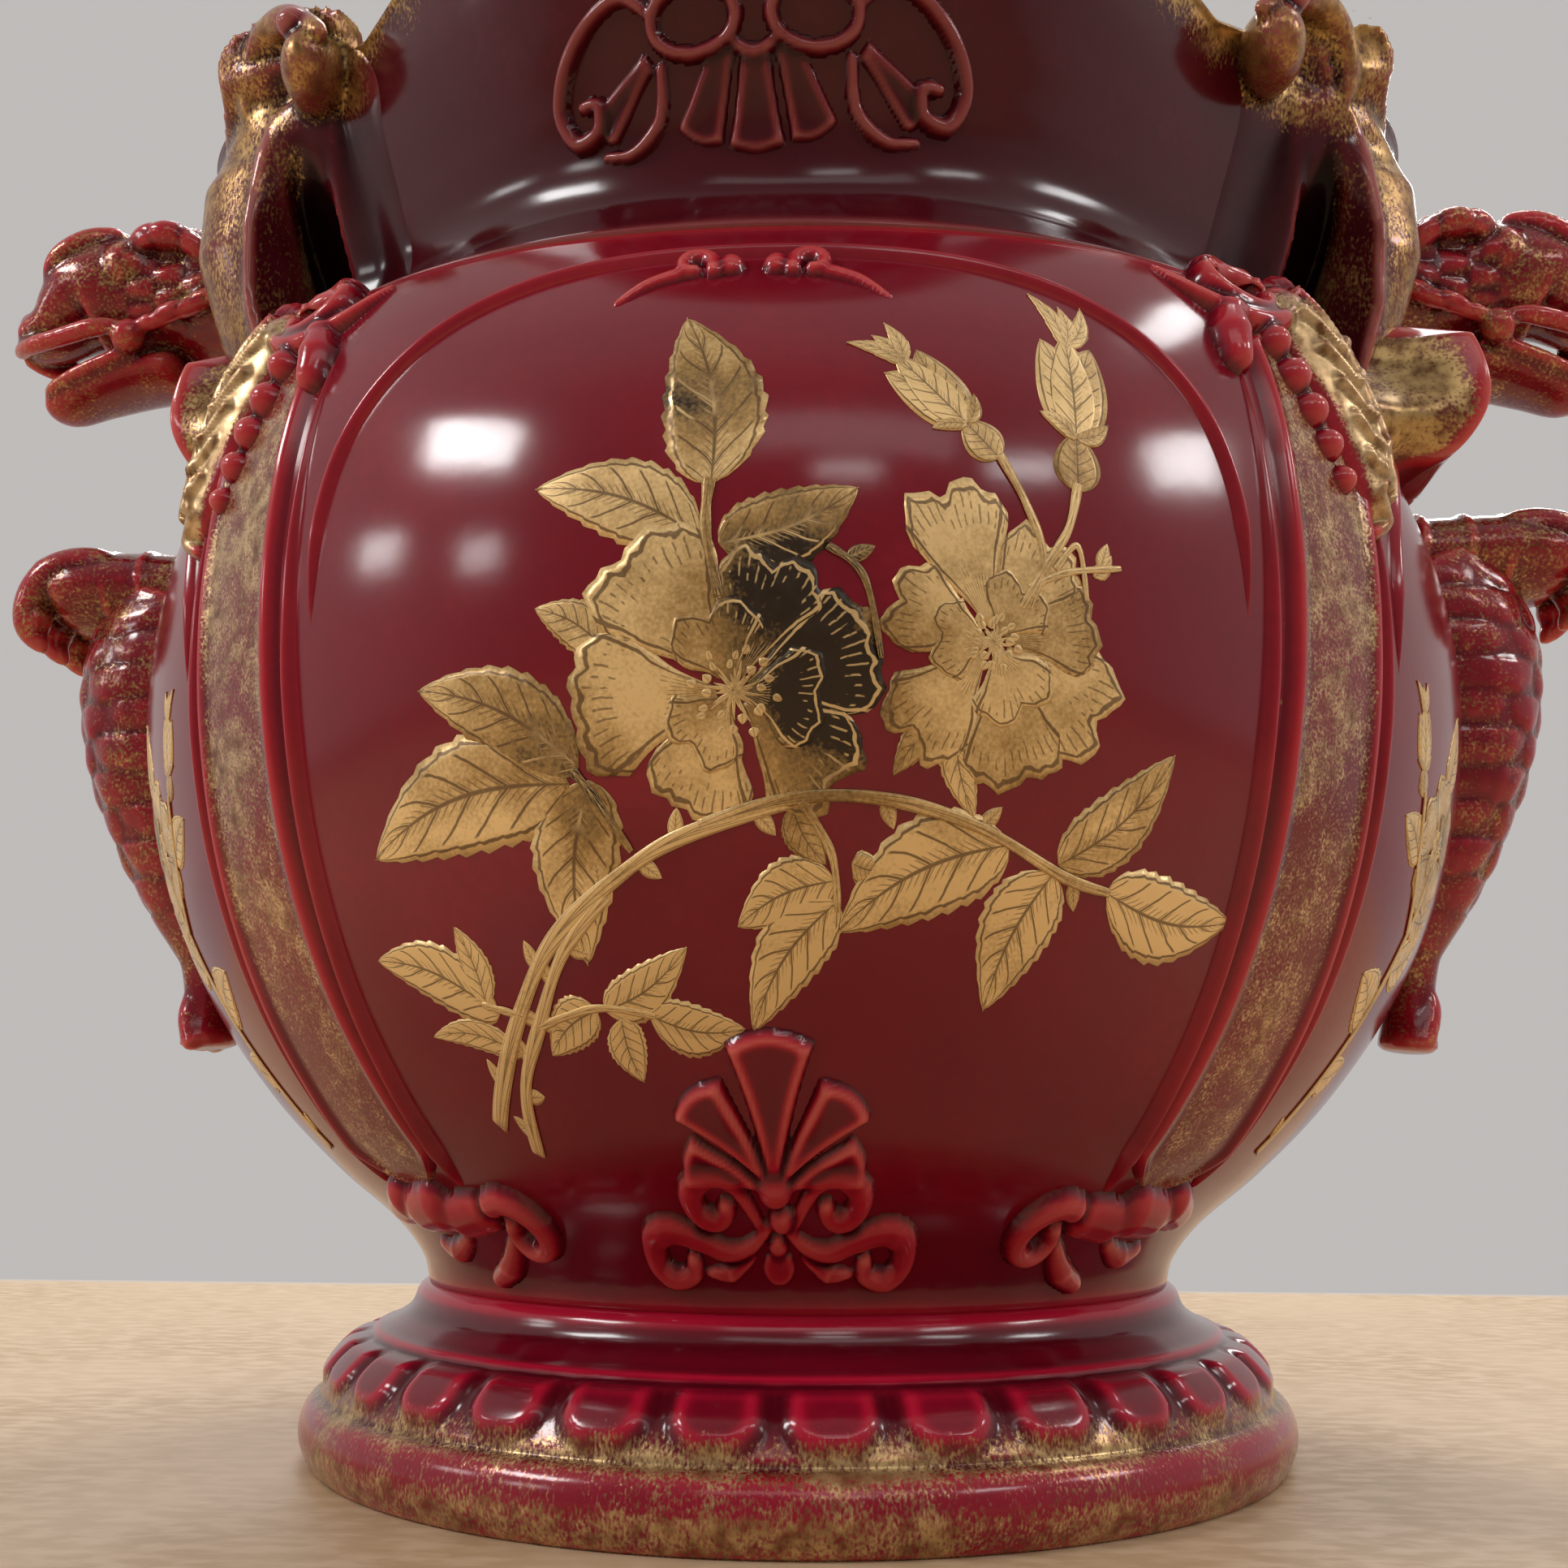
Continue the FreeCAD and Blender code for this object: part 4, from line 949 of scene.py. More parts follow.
@dataclass
class Bowl(Work):
    """The hollow four-lobed bowl."""

    columns: int = 288
    wall: float = 5.5
    floor: float = 7.0

    def build(self) -> Piece:
        """Presses the bowl and glazes it.

        Returns:
            The bowl.
        """
        low, top = POT.foot_height, POT.neck_height
        outer = [(POT.waist_radius * share, low, 0.0, 0.0) for share in (0.0, 0.5, 0.9)]
        outer += [(0.0, height, 0.0, 1.0) for height in np.linspace(low, top, 118)]
        inner = [(0.0, height, self.wall, 1.0) for height in np.linspace(top, low + self.floor + 2, 60)]
        base = POT.radius_at(0.0, low + self.floor) - self.wall
        inner += [(base * share, low + self.floor, 0.0, 0.0) for share in (0.96, 0.6, 0.25, 0.0)]
        rows = np.asarray(outer + inner)
        last = len(rows) - 1

        def shape(around: Array, up: Array) -> Array:
            """Runs up the outside, over the top and down the inside to the floor."""
            row = rows[np.rint(up * last).astype(int)]
            azimuth = 360 * around
            lobed = POT.radius(azimuth, row[:, 1]) - row[:, 2]
            return POT.at(azimuth, np.where(row[:, 3] > 0.5, lobed, row[:, 0]), row[:, 1])

        bowl = Bench.skin("bowl_glazed", self.columns, last, shape)
        places = Bench.read(bowl)
        azimuth = azimuth_of(places)
        corner = np.abs(np.abs(np.abs(azimuth) - 90) - 46.5)
        gold = 0.16 * fade(corner, 9.5, 7.5) * fade(places[:, 2], 44, 60) * fade(places[:, 2], 168, 150)
        inside = reach_of(places) < POT.radius(azimuth, places[:, 2]) - 2
        return self.finisher.glaze(bowl, "ruby_glaze", ["bowl"], np.where(inside, 0, gold), 2, 3.0)


@dataclass
class Collar(Work):
    """The flared lobed collar with its rolled, arching rim."""

    columns: int = 320
    wall: float = 4.6
    roll: float = 2.7
    outside_rows: int = 64
    rim_rows: int = 16
    inside_rows: int = 40

    @property
    def last(self) -> int:
        """Number of the last row of faces up the outside, over the rim and down the inside."""
        return self.outside_rows + self.rim_rows + self.inside_rows

    def shape(self, around: Array, up: Array) -> Array:
        """Runs up the outside, over the rolled rim and down the inside, and closes on the first row.

        Args:
            around: Share of the way round the pot.
            up: Share of the way over the collar's section.

        Returns:
            The points there.
        """
        azimuth, base = 360 * around, POT.neck_height
        index = np.rint(np.where(up > 1 - 1e-6, 0.0, up * (self.last + 1) / self.last) * self.last)
        on_outside, on_rim = index <= self.outside_rows, index <= self.outside_rows + self.rim_rows
        crest = POT.rim_height(azimuth) - self.roll - 0.2
        height = base + (crest - base) * np.clip(index / self.outside_rows, 0, 1)
        radius = POT.radius(azimuth, height) - 0.7 * fade(height, crest - 14, crest)
        bead = np.clip((index - self.outside_rows) / self.rim_rows, 0, 1) * pi
        rolled = POT.radius(azimuth, crest) - 0.7 - self.roll + 0.35 + (self.roll + 0.25) * np.cos(bead)
        drop = np.clip((index - self.outside_rows - self.rim_rows) / self.inside_rows, 0, 1)
        inner_height = crest + (base - crest) * drop
        hollow = (POT.radius(azimuth, inner_height) - self.wall
                  - (2 * self.roll - self.wall + 0.5) * fade(drop, 0.16, 0.0))
        return POT.at(azimuth, np.where(on_outside, radius, np.where(on_rim, rolled, hollow)),
                      np.where(on_outside, height, np.where(on_rim, crest + self.roll * np.sin(bead), inner_height)))

    def build(self) -> Piece:
        """Presses the collar, rolls its rim and glazes it.

        Returns:
            The collar.
        """
        collar = Bench.skin("collar_glazed", self.columns, self.last + 1, self.shape)
        places = Bench.read(collar)
        azimuth = azimuth_of(places)
        from_corner = np.abs(np.abs(np.abs(azimuth) - 90) - 44)
        below_rim = POT.rim_height(azimuth) - places[:, 2]
        outer = reach_of(places) > POT.radius(azimuth, places[:, 2]) - 3.4
        gold = 0.46 * fade(below_rim, 14, 3) * fade(from_corner, 30, 6) + 0.34 * fade(below_rim, 5, 1)
        gold = gold * np.where(places[:, 0] > 0, 1.3, 0.9)
        return self.finisher.glaze(collar, "collar_glaze", ["collar"], np.where(outer, gold, 0), 2, 3.0)


@dataclass
class Ridge:
    """A raised rib on the pot with soft skirts, closed underneath."""

    name: str
    azimuths: Array
    heights: Array
    half_width: float
    rise: float
    section: Callable[[Array], Array]
    columns: int = 22
    fade_in: float = 0.05
    fade_out: float = 0.05
    back_share: float = 0.72
    depth: float = 0.9

    def build(self) -> Piece:
        """Lays the rib along its line.

        Returns:
            The rib.
        """
        rows = len(self.azimuths) - 1
        line = POT.on(self.azimuths, self.heights)
        along = unit(np.gradient(line, axis=0))
        facing = unit(POT.on(self.azimuths, self.heights, 1.0) - line)
        side = unit(np.cross(along, facing))
        share = np.linspace(0, 1, rows + 1)
        taper = np.clip(np.minimum(share / self.fade_in, (1 - share) / self.fade_out), 0, 1) ** 0.6
        back = self.back_share

        def shape(around: Array, up: Array) -> Array:
            """Goes over the rib's back and returns underneath it."""
            index = np.rint(up * rows).astype(int)
            top = around <= back
            across = np.where(top, around / back * 2 - 1, 1 - (around - back) / (1 - back) * 2)
            small = taper[index]
            spot = line[index] + side[index] * (across * self.half_width * small)[:, None]
            azimuth = azimuth_of(spot)
            rise = self.section(across) * self.rise
            lift = np.where(top, rise * small - 0.35 * (1 - fade(rise, 0, 0.3)), -self.depth)
            return POT.on(azimuth, spot[:, 2], lift)

        return Bench.skin(self.name, self.columns, rows, shape)


@dataclass
class Frames(Work):
    """The straps up the corners and the ridges that frame each panel."""

    strap_azimuth: float = 43.5
    strap_half_angle: float = 6.2
    bottom: float = 43.7
    strap_top: float = 165.5
    side_top: float = 158.0
    arch_foot: float = 0.62
    arch_top: float = 0.952
    arch_power: float = 0.72

    @staticmethod
    def round_back(across: Array) -> Array:
        """A rib's round back with hollow skirts."""
        return np.cos(np.clip(across, -1, 1) * pi / 2) ** 2

    @staticmethod
    def strap_back(across: Array) -> Array:
        """A strap's flat back between two raised edges."""
        edge = np.exp(-((np.abs(across) - 0.8) / 0.09) ** 2)
        return 0.55 * fade(1 - np.abs(across), 0.02, 0.16) + 0.45 * edge

    def lay_straps(self) -> None:
        """Lays a strap up each corner and gilds it."""
        heights = np.linspace(self.bottom, self.strap_top, 130)
        strap = Ridge("strap", np.full(130, self.strap_azimuth), heights, radians(self.strap_half_angle) * 112, 1.9,
                      self.strap_back, 46).build()
        for corner in Corner:
            piece = Bench.to_corner(strap, "strap_glazed_", corner)
            places = Bench.read(piece)
            gold = 0.4 + 0.08 * fade(places[:, 2], 95, 130)
            gold = gold * fade(np.abs(corner_azimuth(places) - self.strap_azimuth), 5.4, 4.2) + 0.06
            self.finisher.glaze(piece, "gilt_glaze", ["strap_" + corner.word], gold, 2, 1.8)
        bpy.data.objects.remove(strap)

    def lay_frame(self, word: str, middle: float, reach: float) -> None:
        """Lays the two ridges and the arch round one panel.

        Args:
            word: The panel's name.
            middle: Azimuth of its middle.
            reach: Half its angle.
        """
        heights = np.linspace(self.bottom, self.side_top, 120)
        parts = [Ridge("side", np.full(120, middle + sign * reach), heights, 2.1, 1.5, self.round_back,
                       fade_out=0.42).build() for sign in (-1, 1)]
        turn = np.linspace(0, pi, 160)
        swing = -np.sign(np.cos(turn)) * np.abs(np.cos(turn)) ** self.arch_power
        share = self.arch_foot + (self.arch_top - self.arch_foot) * np.sin(turn) ** self.arch_power
        parts.append(Ridge("arch", middle + (reach - 2.5) * swing, POT.foot_height + share * POT.bowl_height,
                           1.9, 1.15, self.round_back).build())
        piece = Bench.join("panel_frame_glazed_" + word, parts)
        self.finisher.glaze(piece, "ruby_glaze", ["panel_frame_" + word], 0.0, 2, 1.5, 0.06)

    def build(self) -> None:
        """Lays all straps and frames."""
        self.lay_straps()
        for word, middle, reach in (("front", 0, 36.0), ("back", 180, 36.0), ("right", 90, 39.0),
                                    ("left", 270, 39.0)):
            self.lay_frame(word, middle, reach)


# Pressed relief, as heights over a patch of the pot

@dataclass(frozen=True)
class Stroke:
    """A rolled line of clay: points across and up in millimetres, with half widths and heights."""

    points: tuple[Row, ...]
    widths: tuple[float, ...]
    rises: tuple[float, ...]

    def height(self, across: Array, up: Array) -> Array:
        """Gives the stroke's height at places on the patch.

        Args:
            across: Places across the patch.
            up: Places up it.

        Returns:
            The heights there.
        """
        count = 6 * (len(self.points) - 1) + 1
        spots = through(self.points, count)
        wide, tall = (np.interp(np.linspace(0, 1, count), np.linspace(0, 1, len(known)), known)
                      for known in (self.widths, self.rises))
        best = np.zeros_like(across)
        for start, end, half, rise, half_end, rise_end in zip(spots, spots[1:], wide, tall, wide[1:], tall[1:]):
            run = end - start
            share = np.clip(((across - start[0]) * run[0] + (up - start[1]) * run[1]) / max(run @ run, 1e-9), 0, 1)
            away = np.hypot(across - start[0] - run[0] * share, up - start[1] - run[1] * share)
            near = away / (half + (half_end - half) * share)
            body = np.clip(1 - near ** 2, 0, 1) ** 0.62
            best = np.maximum(best, body * (rise + (rise_end - rise) * share))
        return best


@dataclass(frozen=True)
class Lobe:
    """A spoon-shaped lobe with a blunt end: its root, tilt, length, half widths and height."""

    root: Row
    tilt: float
    length: float
    root_width: float
    tip_width: float
    rise: float
    bow: float = 0.12

    def height(self, across: Array, up: Array) -> Array:
        """Gives the lobe's height at places on the patch.

        Args:
            across: Places across the patch.
            up: Places up it.

        Returns:
            The heights there.
        """
        lean = radians(self.tilt)
        ahead = (across - self.root[0]) * sin(lean) + (up - self.root[1]) * cos(lean)
        beside = (across - self.root[0]) * cos(lean) - (up - self.root[1]) * sin(lean)
        share = np.clip(ahead / self.length, 0, 1)
        half = self.root_width + (self.tip_width - self.root_width) * share ** 1.4
        end = self.length * (1 - self.bow * (beside / self.tip_width) ** 2)
        inside = np.minimum(half - np.abs(beside), np.minimum(end - ahead, ahead + 0.6))
        middle = np.clip(1 - (beside / half) ** 2, 0, 1) * fade(share, 0.05, 0.5)
        return self.rise * fade(inside, -0.2, 1.1) * (0.55 + 0.45 * share) * (1 - 0.42 * middle)


@dataclass
class Relief:
    """A pressed ornament laid on the pot."""

    name: str
    azimuth: float
    height: float
    half_width: float
    half_height: float
    forms: list[Stroke | Lobe]
    pitch: float = 0.42
    top: float = 999.0

    def build(self) -> Piece:
        """Presses the patch.

        Returns:
            The ornament.
        """
        radius = POT.radius_at(self.azimuth, self.height)

        def shape(across_share: Array, up_share: Array) -> Array:
            """Lays the patch on the pot and raises its forms."""
            across = (across_share * 2 - 1) * self.half_width
            up = (up_share * 2 - 1) * self.half_height
            rise = np.zeros_like(across)
            for form in self.forms:
                rise = melt(rise, form.height(across, up))
            rise = rise * fade(self.height + up, self.top, self.top - 7)
            lift = rise - 0.45 * (1 - fade(rise, 0.0, 0.3))
            return POT.on(self.azimuth + np.degrees(across / radius), self.height + up, lift)

        patch = Bench.skin(self.name, int(2 * self.half_width / self.pitch), int(2 * self.half_height / self.pitch),
                           shape, closed=False)
        Bench.modify(patch, "SOLIDIFY", thickness=0.8, offset=-1.0)
        return patch


def curl(centre: Row, radius: float, start: float, sweep: float, end_share: float, count: int = 12
         ) -> tuple[Row, ...]:
    """Gives points along a flat spiral that winds inwards.

    Args:
        centre: Its middle, across and up.
        radius: Its outer radius.
        start: Angle of its outer end in degrees.
        sweep: How far it winds, counterclockwise when positive.
        end_share: Radius of its inner end as a share.
        count: How many points.

    Returns:
        The points.
    """
    points = []
    for index in range(count):
        share = index / (count - 1)
        turn = radians(start + sweep * share)
        reach = radius * (1 - (1 - end_share) * share)
        points.append((centre[0] + reach * cos(turn), centre[1] + reach * sin(turn)))
    return tuple(points)


def bead(centre: Row, radius: float, rise: float) -> Stroke:
    """A single round bead."""
    return Stroke(((centre[0], centre[1]), (centre[0] + 0.01, centre[1])), (radius, radius), (rise, rise))


@dataclass
class Ornaments(Work):
    """The small relief: palmettes, crests, cartouches, strap scrolls and shoulder leaves."""

    strap_azimuth: float = 43.5
    left_leaf_azimuth: float = 45.6
    leaf_height: float = 158.0

    def palmette(self) -> Relief:
        """A fan of five lobes over beads and two pairs of volutes.

        Returns:
            The ornament for the front.
        """
        forms: list[Stroke | Lobe] = [
            Lobe((0.0, 1.0), 0, 17.5, 1.5, 5.3, 2.6), Lobe((1.0, 0.5), 37, 13.6, 1.2, 4.3, 2.4),
            Lobe((-1.0, 0.5), -37, 13.6, 1.2, 4.3, 2.4), Lobe((1.8, -0.6), 70, 10.4, 1.2, 3.7, 2.1),
            Lobe((-1.8, -0.6), -70, 10.4, 1.2, 3.7, 2.1),
            bead((0, -0.9), 2.6, 2.6), bead((0.7, -5.0), 2.0, 2.1), bead((0, -9.0), 1.7, 1.2),
            bead((0, -12.2), 2.8, 1.0)]
        for sign in (-1, 1):
            upper = mirrored(curl((8.6, -3.0), 4.1, 165, -330, 0.42, 14), sign)
            forms.append(Stroke(((sign * 2.2, -6.6),) + upper, (1.0, 2.0, 1.9, 1.4), (0.9, 1.7, 1.8, 1.4)))
            lower = ((1.2, -6.2), (4.0, -8.8), (7.8, -9.8), (12.2, -8.0), (16.2, -6.8), (19.4, -8.2), (20.0, -11.6),
                     (17.6, -13.8), (14.4, -13.0), (13.8, -11.2))
            forms.append(Stroke(mirrored(lower, sign), (0.9, 1.8, 2.3, 2.1, 1.5), (1.0, 1.6, 2.0, 1.8, 1.3)))
            forms.append(Stroke(mirrored(((4.0, -10.6), (8.0, -12.8), (12.0, -13.0)), sign), (0.8, 1.7, 0.7),
                                (0.5, 1.2, 0.5)))
        return Relief("palmette", 0.0, 46.0, 25.0, 20.5, forms)

    def crest(self) -> Relief:
        """Two little twin scrolls at the top of a panel.

        Returns:
            The ornament for the front.
        """
        forms: list[Stroke | Lobe] = []
        for sign in (-1, 1):
            forms.append(Stroke(mirrored(curl((7.6, 0.2), 2.7, 200, -300, 0.35), sign), (1.3, 1.3, 0.9),
                                (1.5, 1.7, 1.3)))
            forms.append(bead((sign * 3.0, 0.4), 1.9, 1.6))
            forms.append(Stroke(mirrored(((9.5, -1.0), (13.5, -2.6), (17.0, -5.6)), sign), (1.2, 1.0, 0.5),
                                (1.2, 0.9, 0.3)))
        return Relief("crest", -1.2, 161.0, 19.0, 8.0, forms)

    def cartouche(self) -> Relief:
        """Two oval loops and hanging lobes under an arch, with a leafy scroll at each side.

        Returns:
            The ornament for the front.
        """
        forms: list[Stroke | Lobe] = []
        for sign in (-1, 1):
            loop = tuple((sign * 8.4 + 6.0 * cos(turn), 0.8 + 3.9 * sin(turn)) for turn in np.linspace(0, 2 * pi, 15))
            forms.append(Stroke(loop, (1.1, 1.1), (1.6, 1.6)))
            forms.append(Stroke(mirrored(((14.0, 4.2), (10.0, 8.8), (0.0, 10.6)), sign), (0.9, 1.1, 1.1),
                                (1.0, 1.3, 1.3)))
            arm = ((14.5, 2.0), (18.5, 4.8), (24.0, 3.2), (29.0, -1.0), (31.0, -6.0), (28.6, -10.2), (24.6, -9.4),
                   (24.2, -6.4), (26.8, -6.0))
            forms.append(Stroke(mirrored(arm, sign), (0.9, 1.4, 1.5, 1.0), (1.2, 1.8, 2.0, 1.6)))
            forms.append(Lobe((sign * 15.5, -3.0), sign * 128, 12.0, 1.6, 3.4, 1.7))
            forms.append(Stroke(mirrored(((13.6, -4.0), (14.6, -10.0), (19.0, -13.4), (24.0, -13.0)), sign),
                                (1.0, 1.3, 0.8), (1.0, 1.5, 0.9)))
            forms.append(Lobe((sign * 4.4, -2.5), sign * 158, 12.4, 2.2, 4.2, 1.4))
        forms.append(Stroke(((-3.4, -2.0), (0.0, -3.6), (3.4, -2.0)), (0.9, 1.2, 0.9), (1.2, 1.5, 1.2)))
        forms.append(Lobe((0.0, -4.2), 180, 11.6, 2.6, 4.8, 1.6))
        return Relief("cartouche", -1.6, 200.5, 34.0, 16.5, forms, pitch=0.5)

    def strap_scroll(self) -> Relief:
        """The row of beads and the curling drop below a strap, on the front right corner.

        Returns:
            The ornament.
        """
        forms: list[Stroke | Lobe] = [
            Stroke(((6.0, 2.6), (10.4, 1.2)), (3.1, 2.6), (3.2, 2.8)),
            Stroke(((-2.4, 2.0), (2.4, 1.4)), (3.5, 3.3), (3.8, 3.6)),
            Stroke(((-10.4, 1.4), (-6.0, 0.8)), (2.9, 3.2), (3.0, 3.4)),
            Stroke(curl((-16.0, -1.2), 4.6, 60, 330, 0.42, 14), (1.9, 1.8, 1.3), (2.6, 2.6, 2.0)),
            Stroke(((-11.6, -3.0), (-8.0, -6.8), (-4.2, -8.8)), (1.2, 2.2, 1.9), (1.4, 2.6, 2.0)),
            Stroke(((0.5, -3.6), (5.0, -5.4), (9.6, -4.6)), (1.0, 1.9, 1.1), (1.0, 1.9, 1.0))]
        return Relief("strap_scroll", self.strap_azimuth, 39.6, 23.0, 12.5, forms)

    def shoulder_leaf(self, azimuth: float) -> Relief:
        """The acanthus leaf down the strap's top with its scroll, finger and falling pearls.

        Args:
            azimuth: Where the strap's middle lies.

        Returns:
            The ornament for the front right corner.
        """
        leaf = ((2.0, 12.6), (5.8, 8.6), (8.6, 2.0), (10.2, -6.0), (11.2, -13.0), (11.4, -18.0))
        forms: list[Stroke | Lobe] = [
            Stroke(leaf, (4.2, 7.8, 8.4, 7.4, 5.4, 2.8), (4.0, 4.8, 4.6, 4.1, 3.4, 2.4)),
            Stroke(((3.2, 15.0), (8.2, 4.0), (10.8, -8.0), (11.2, -16.0)), (1.1, 1.2, 1.0, 0.8),
                   (5.0, 5.4, 4.8, 3.6)),
            Stroke(((9.0, 14.4), (14.4, 7.0), (17.0, -2.0), (17.0, -10.0), (14.6, -17.0)), (1.4, 1.9, 1.9, 1.6, 1.1),
                   (4.0, 4.8, 4.4, 3.8, 2.6)),
            Stroke(tuple((-8.4 + 6.2 * cos(turn), 11.4 + 3.7 * sin(turn)) for turn in np.linspace(0.3, 6.1, 14)),
                   (1.7, 1.9), (3.2, 3.6)),
            Stroke(((-23.0, 12.0), (-16.0, 7.6), (-9.0, 5.6), (-2.0, 7.2), (3.0, 11.4)), (0.7, 1.4, 1.9, 2.2, 2.0),
                   (0.6, 2.0, 3.2, 4.0, 3.8)),
            Stroke(((-12.6, 5.6), (-14.2, 1.6), (-14.6, -2.2)), (2.4, 3.4, 2.6), (3.0, 3.8, 3.0)),
            Stroke(((11.4, -16.5), (13.4, -20.0), (10.8, -22.2)), (2.4, 1.9, 1.1), (3.2, 3.2, 2.0))]
        for index, size in enumerate((3.0, 3.2, 3.1, 2.8, 2.4)):
            forms.append(bead((-5.4 + 2.3 * index, 2.6 - 4.7 * index), size, 4.0 - 0.2 * index))
            forms.append(Stroke(((2.0 + 1.8 * index, 8.6 - 5.0 * index), (7.4 + 1.5 * index, 3.8 - 5.0 * index)),
                                (1.5, 0.7), (4.9 - 0.3 * index, 5.3 - 0.3 * index)))
            forms.append(Stroke(((9.8 + 1.2 * index, 3.4 - 5.0 * index), (14.0 + 0.9 * index, 8.0 - 5.0 * index)),
                                (0.8, 1.5), (5.2 - 0.4 * index, 4.7 - 0.4 * index)))
        return Relief("shoulder_leaf", azimuth, self.leaf_height, 25.0, 24.5, forms, top=178.0)

    def build(self) -> None:
        """Presses every ornament, copies it round the pot and glazes it."""
        for relief, slot, gain in ((self.palmette(), "ruby_glaze", 2.1), (self.crest(), "ruby_glaze", 1.5),
                                   (self.cartouche(), "collar_glaze", 1.3)):
            patch = relief.build()
            for word, frontal in (("front", 1), ("back", -1)):
                piece = Bench.twin(patch, f"{relief.name}_glazed_{word}", 1, frontal)
                self.finisher.glaze(piece, slot, [f"{relief.name}_{word}"], 0.0, 2, gain)
            bpy.data.objects.remove(patch)
        for side, azimuth in ((Side.RIGHT, self.strap_azimuth), (Side.LEFT, self.left_leaf_azimuth)):
            self.dress_side(side, self.strap_scroll(), ("strap_scroll_",), 0.3, 1.9)
            self.dress_side(side, self.shoulder_leaf(azimuth), ("shoulder_leaf_", "pearl_drop_"), 0.85, 1.5)

    def dress_side(self, side: Side, relief: Relief, nodes: Sequence[str], strength: float, gain: float) -> None:
        """Puts an ornament on both corners of one side.

        Args:
            side: The side.
            relief: The ornament for the front right corner.
            nodes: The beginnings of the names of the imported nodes.
            strength: How much gold lies on its outer part.
            gain: How strongly its edges show.
        """
        patch = relief.build()
        for corner in Corner.on(side):
            piece = Bench.to_corner(patch, relief.name + "_glazed_", corner)
            places = Bench.read(piece)
            across = np.radians(corner_azimuth(places) - relief.azimuth) * 108
            diagonal = across - 0.42 * (self.leaf_height - places[:, 2])
            gold = strength * fade(diagonal, 0.5, 3.5) * fade(places[:, 2], 32, 60) * fade(places[:, 2], 176, 168)
            self.finisher.glaze(piece, "gilt_glaze", [node + corner.word for node in nodes], gold, 2, gain, 0.03)
        bpy.data.objects.remove(patch)


# Corners of the collar

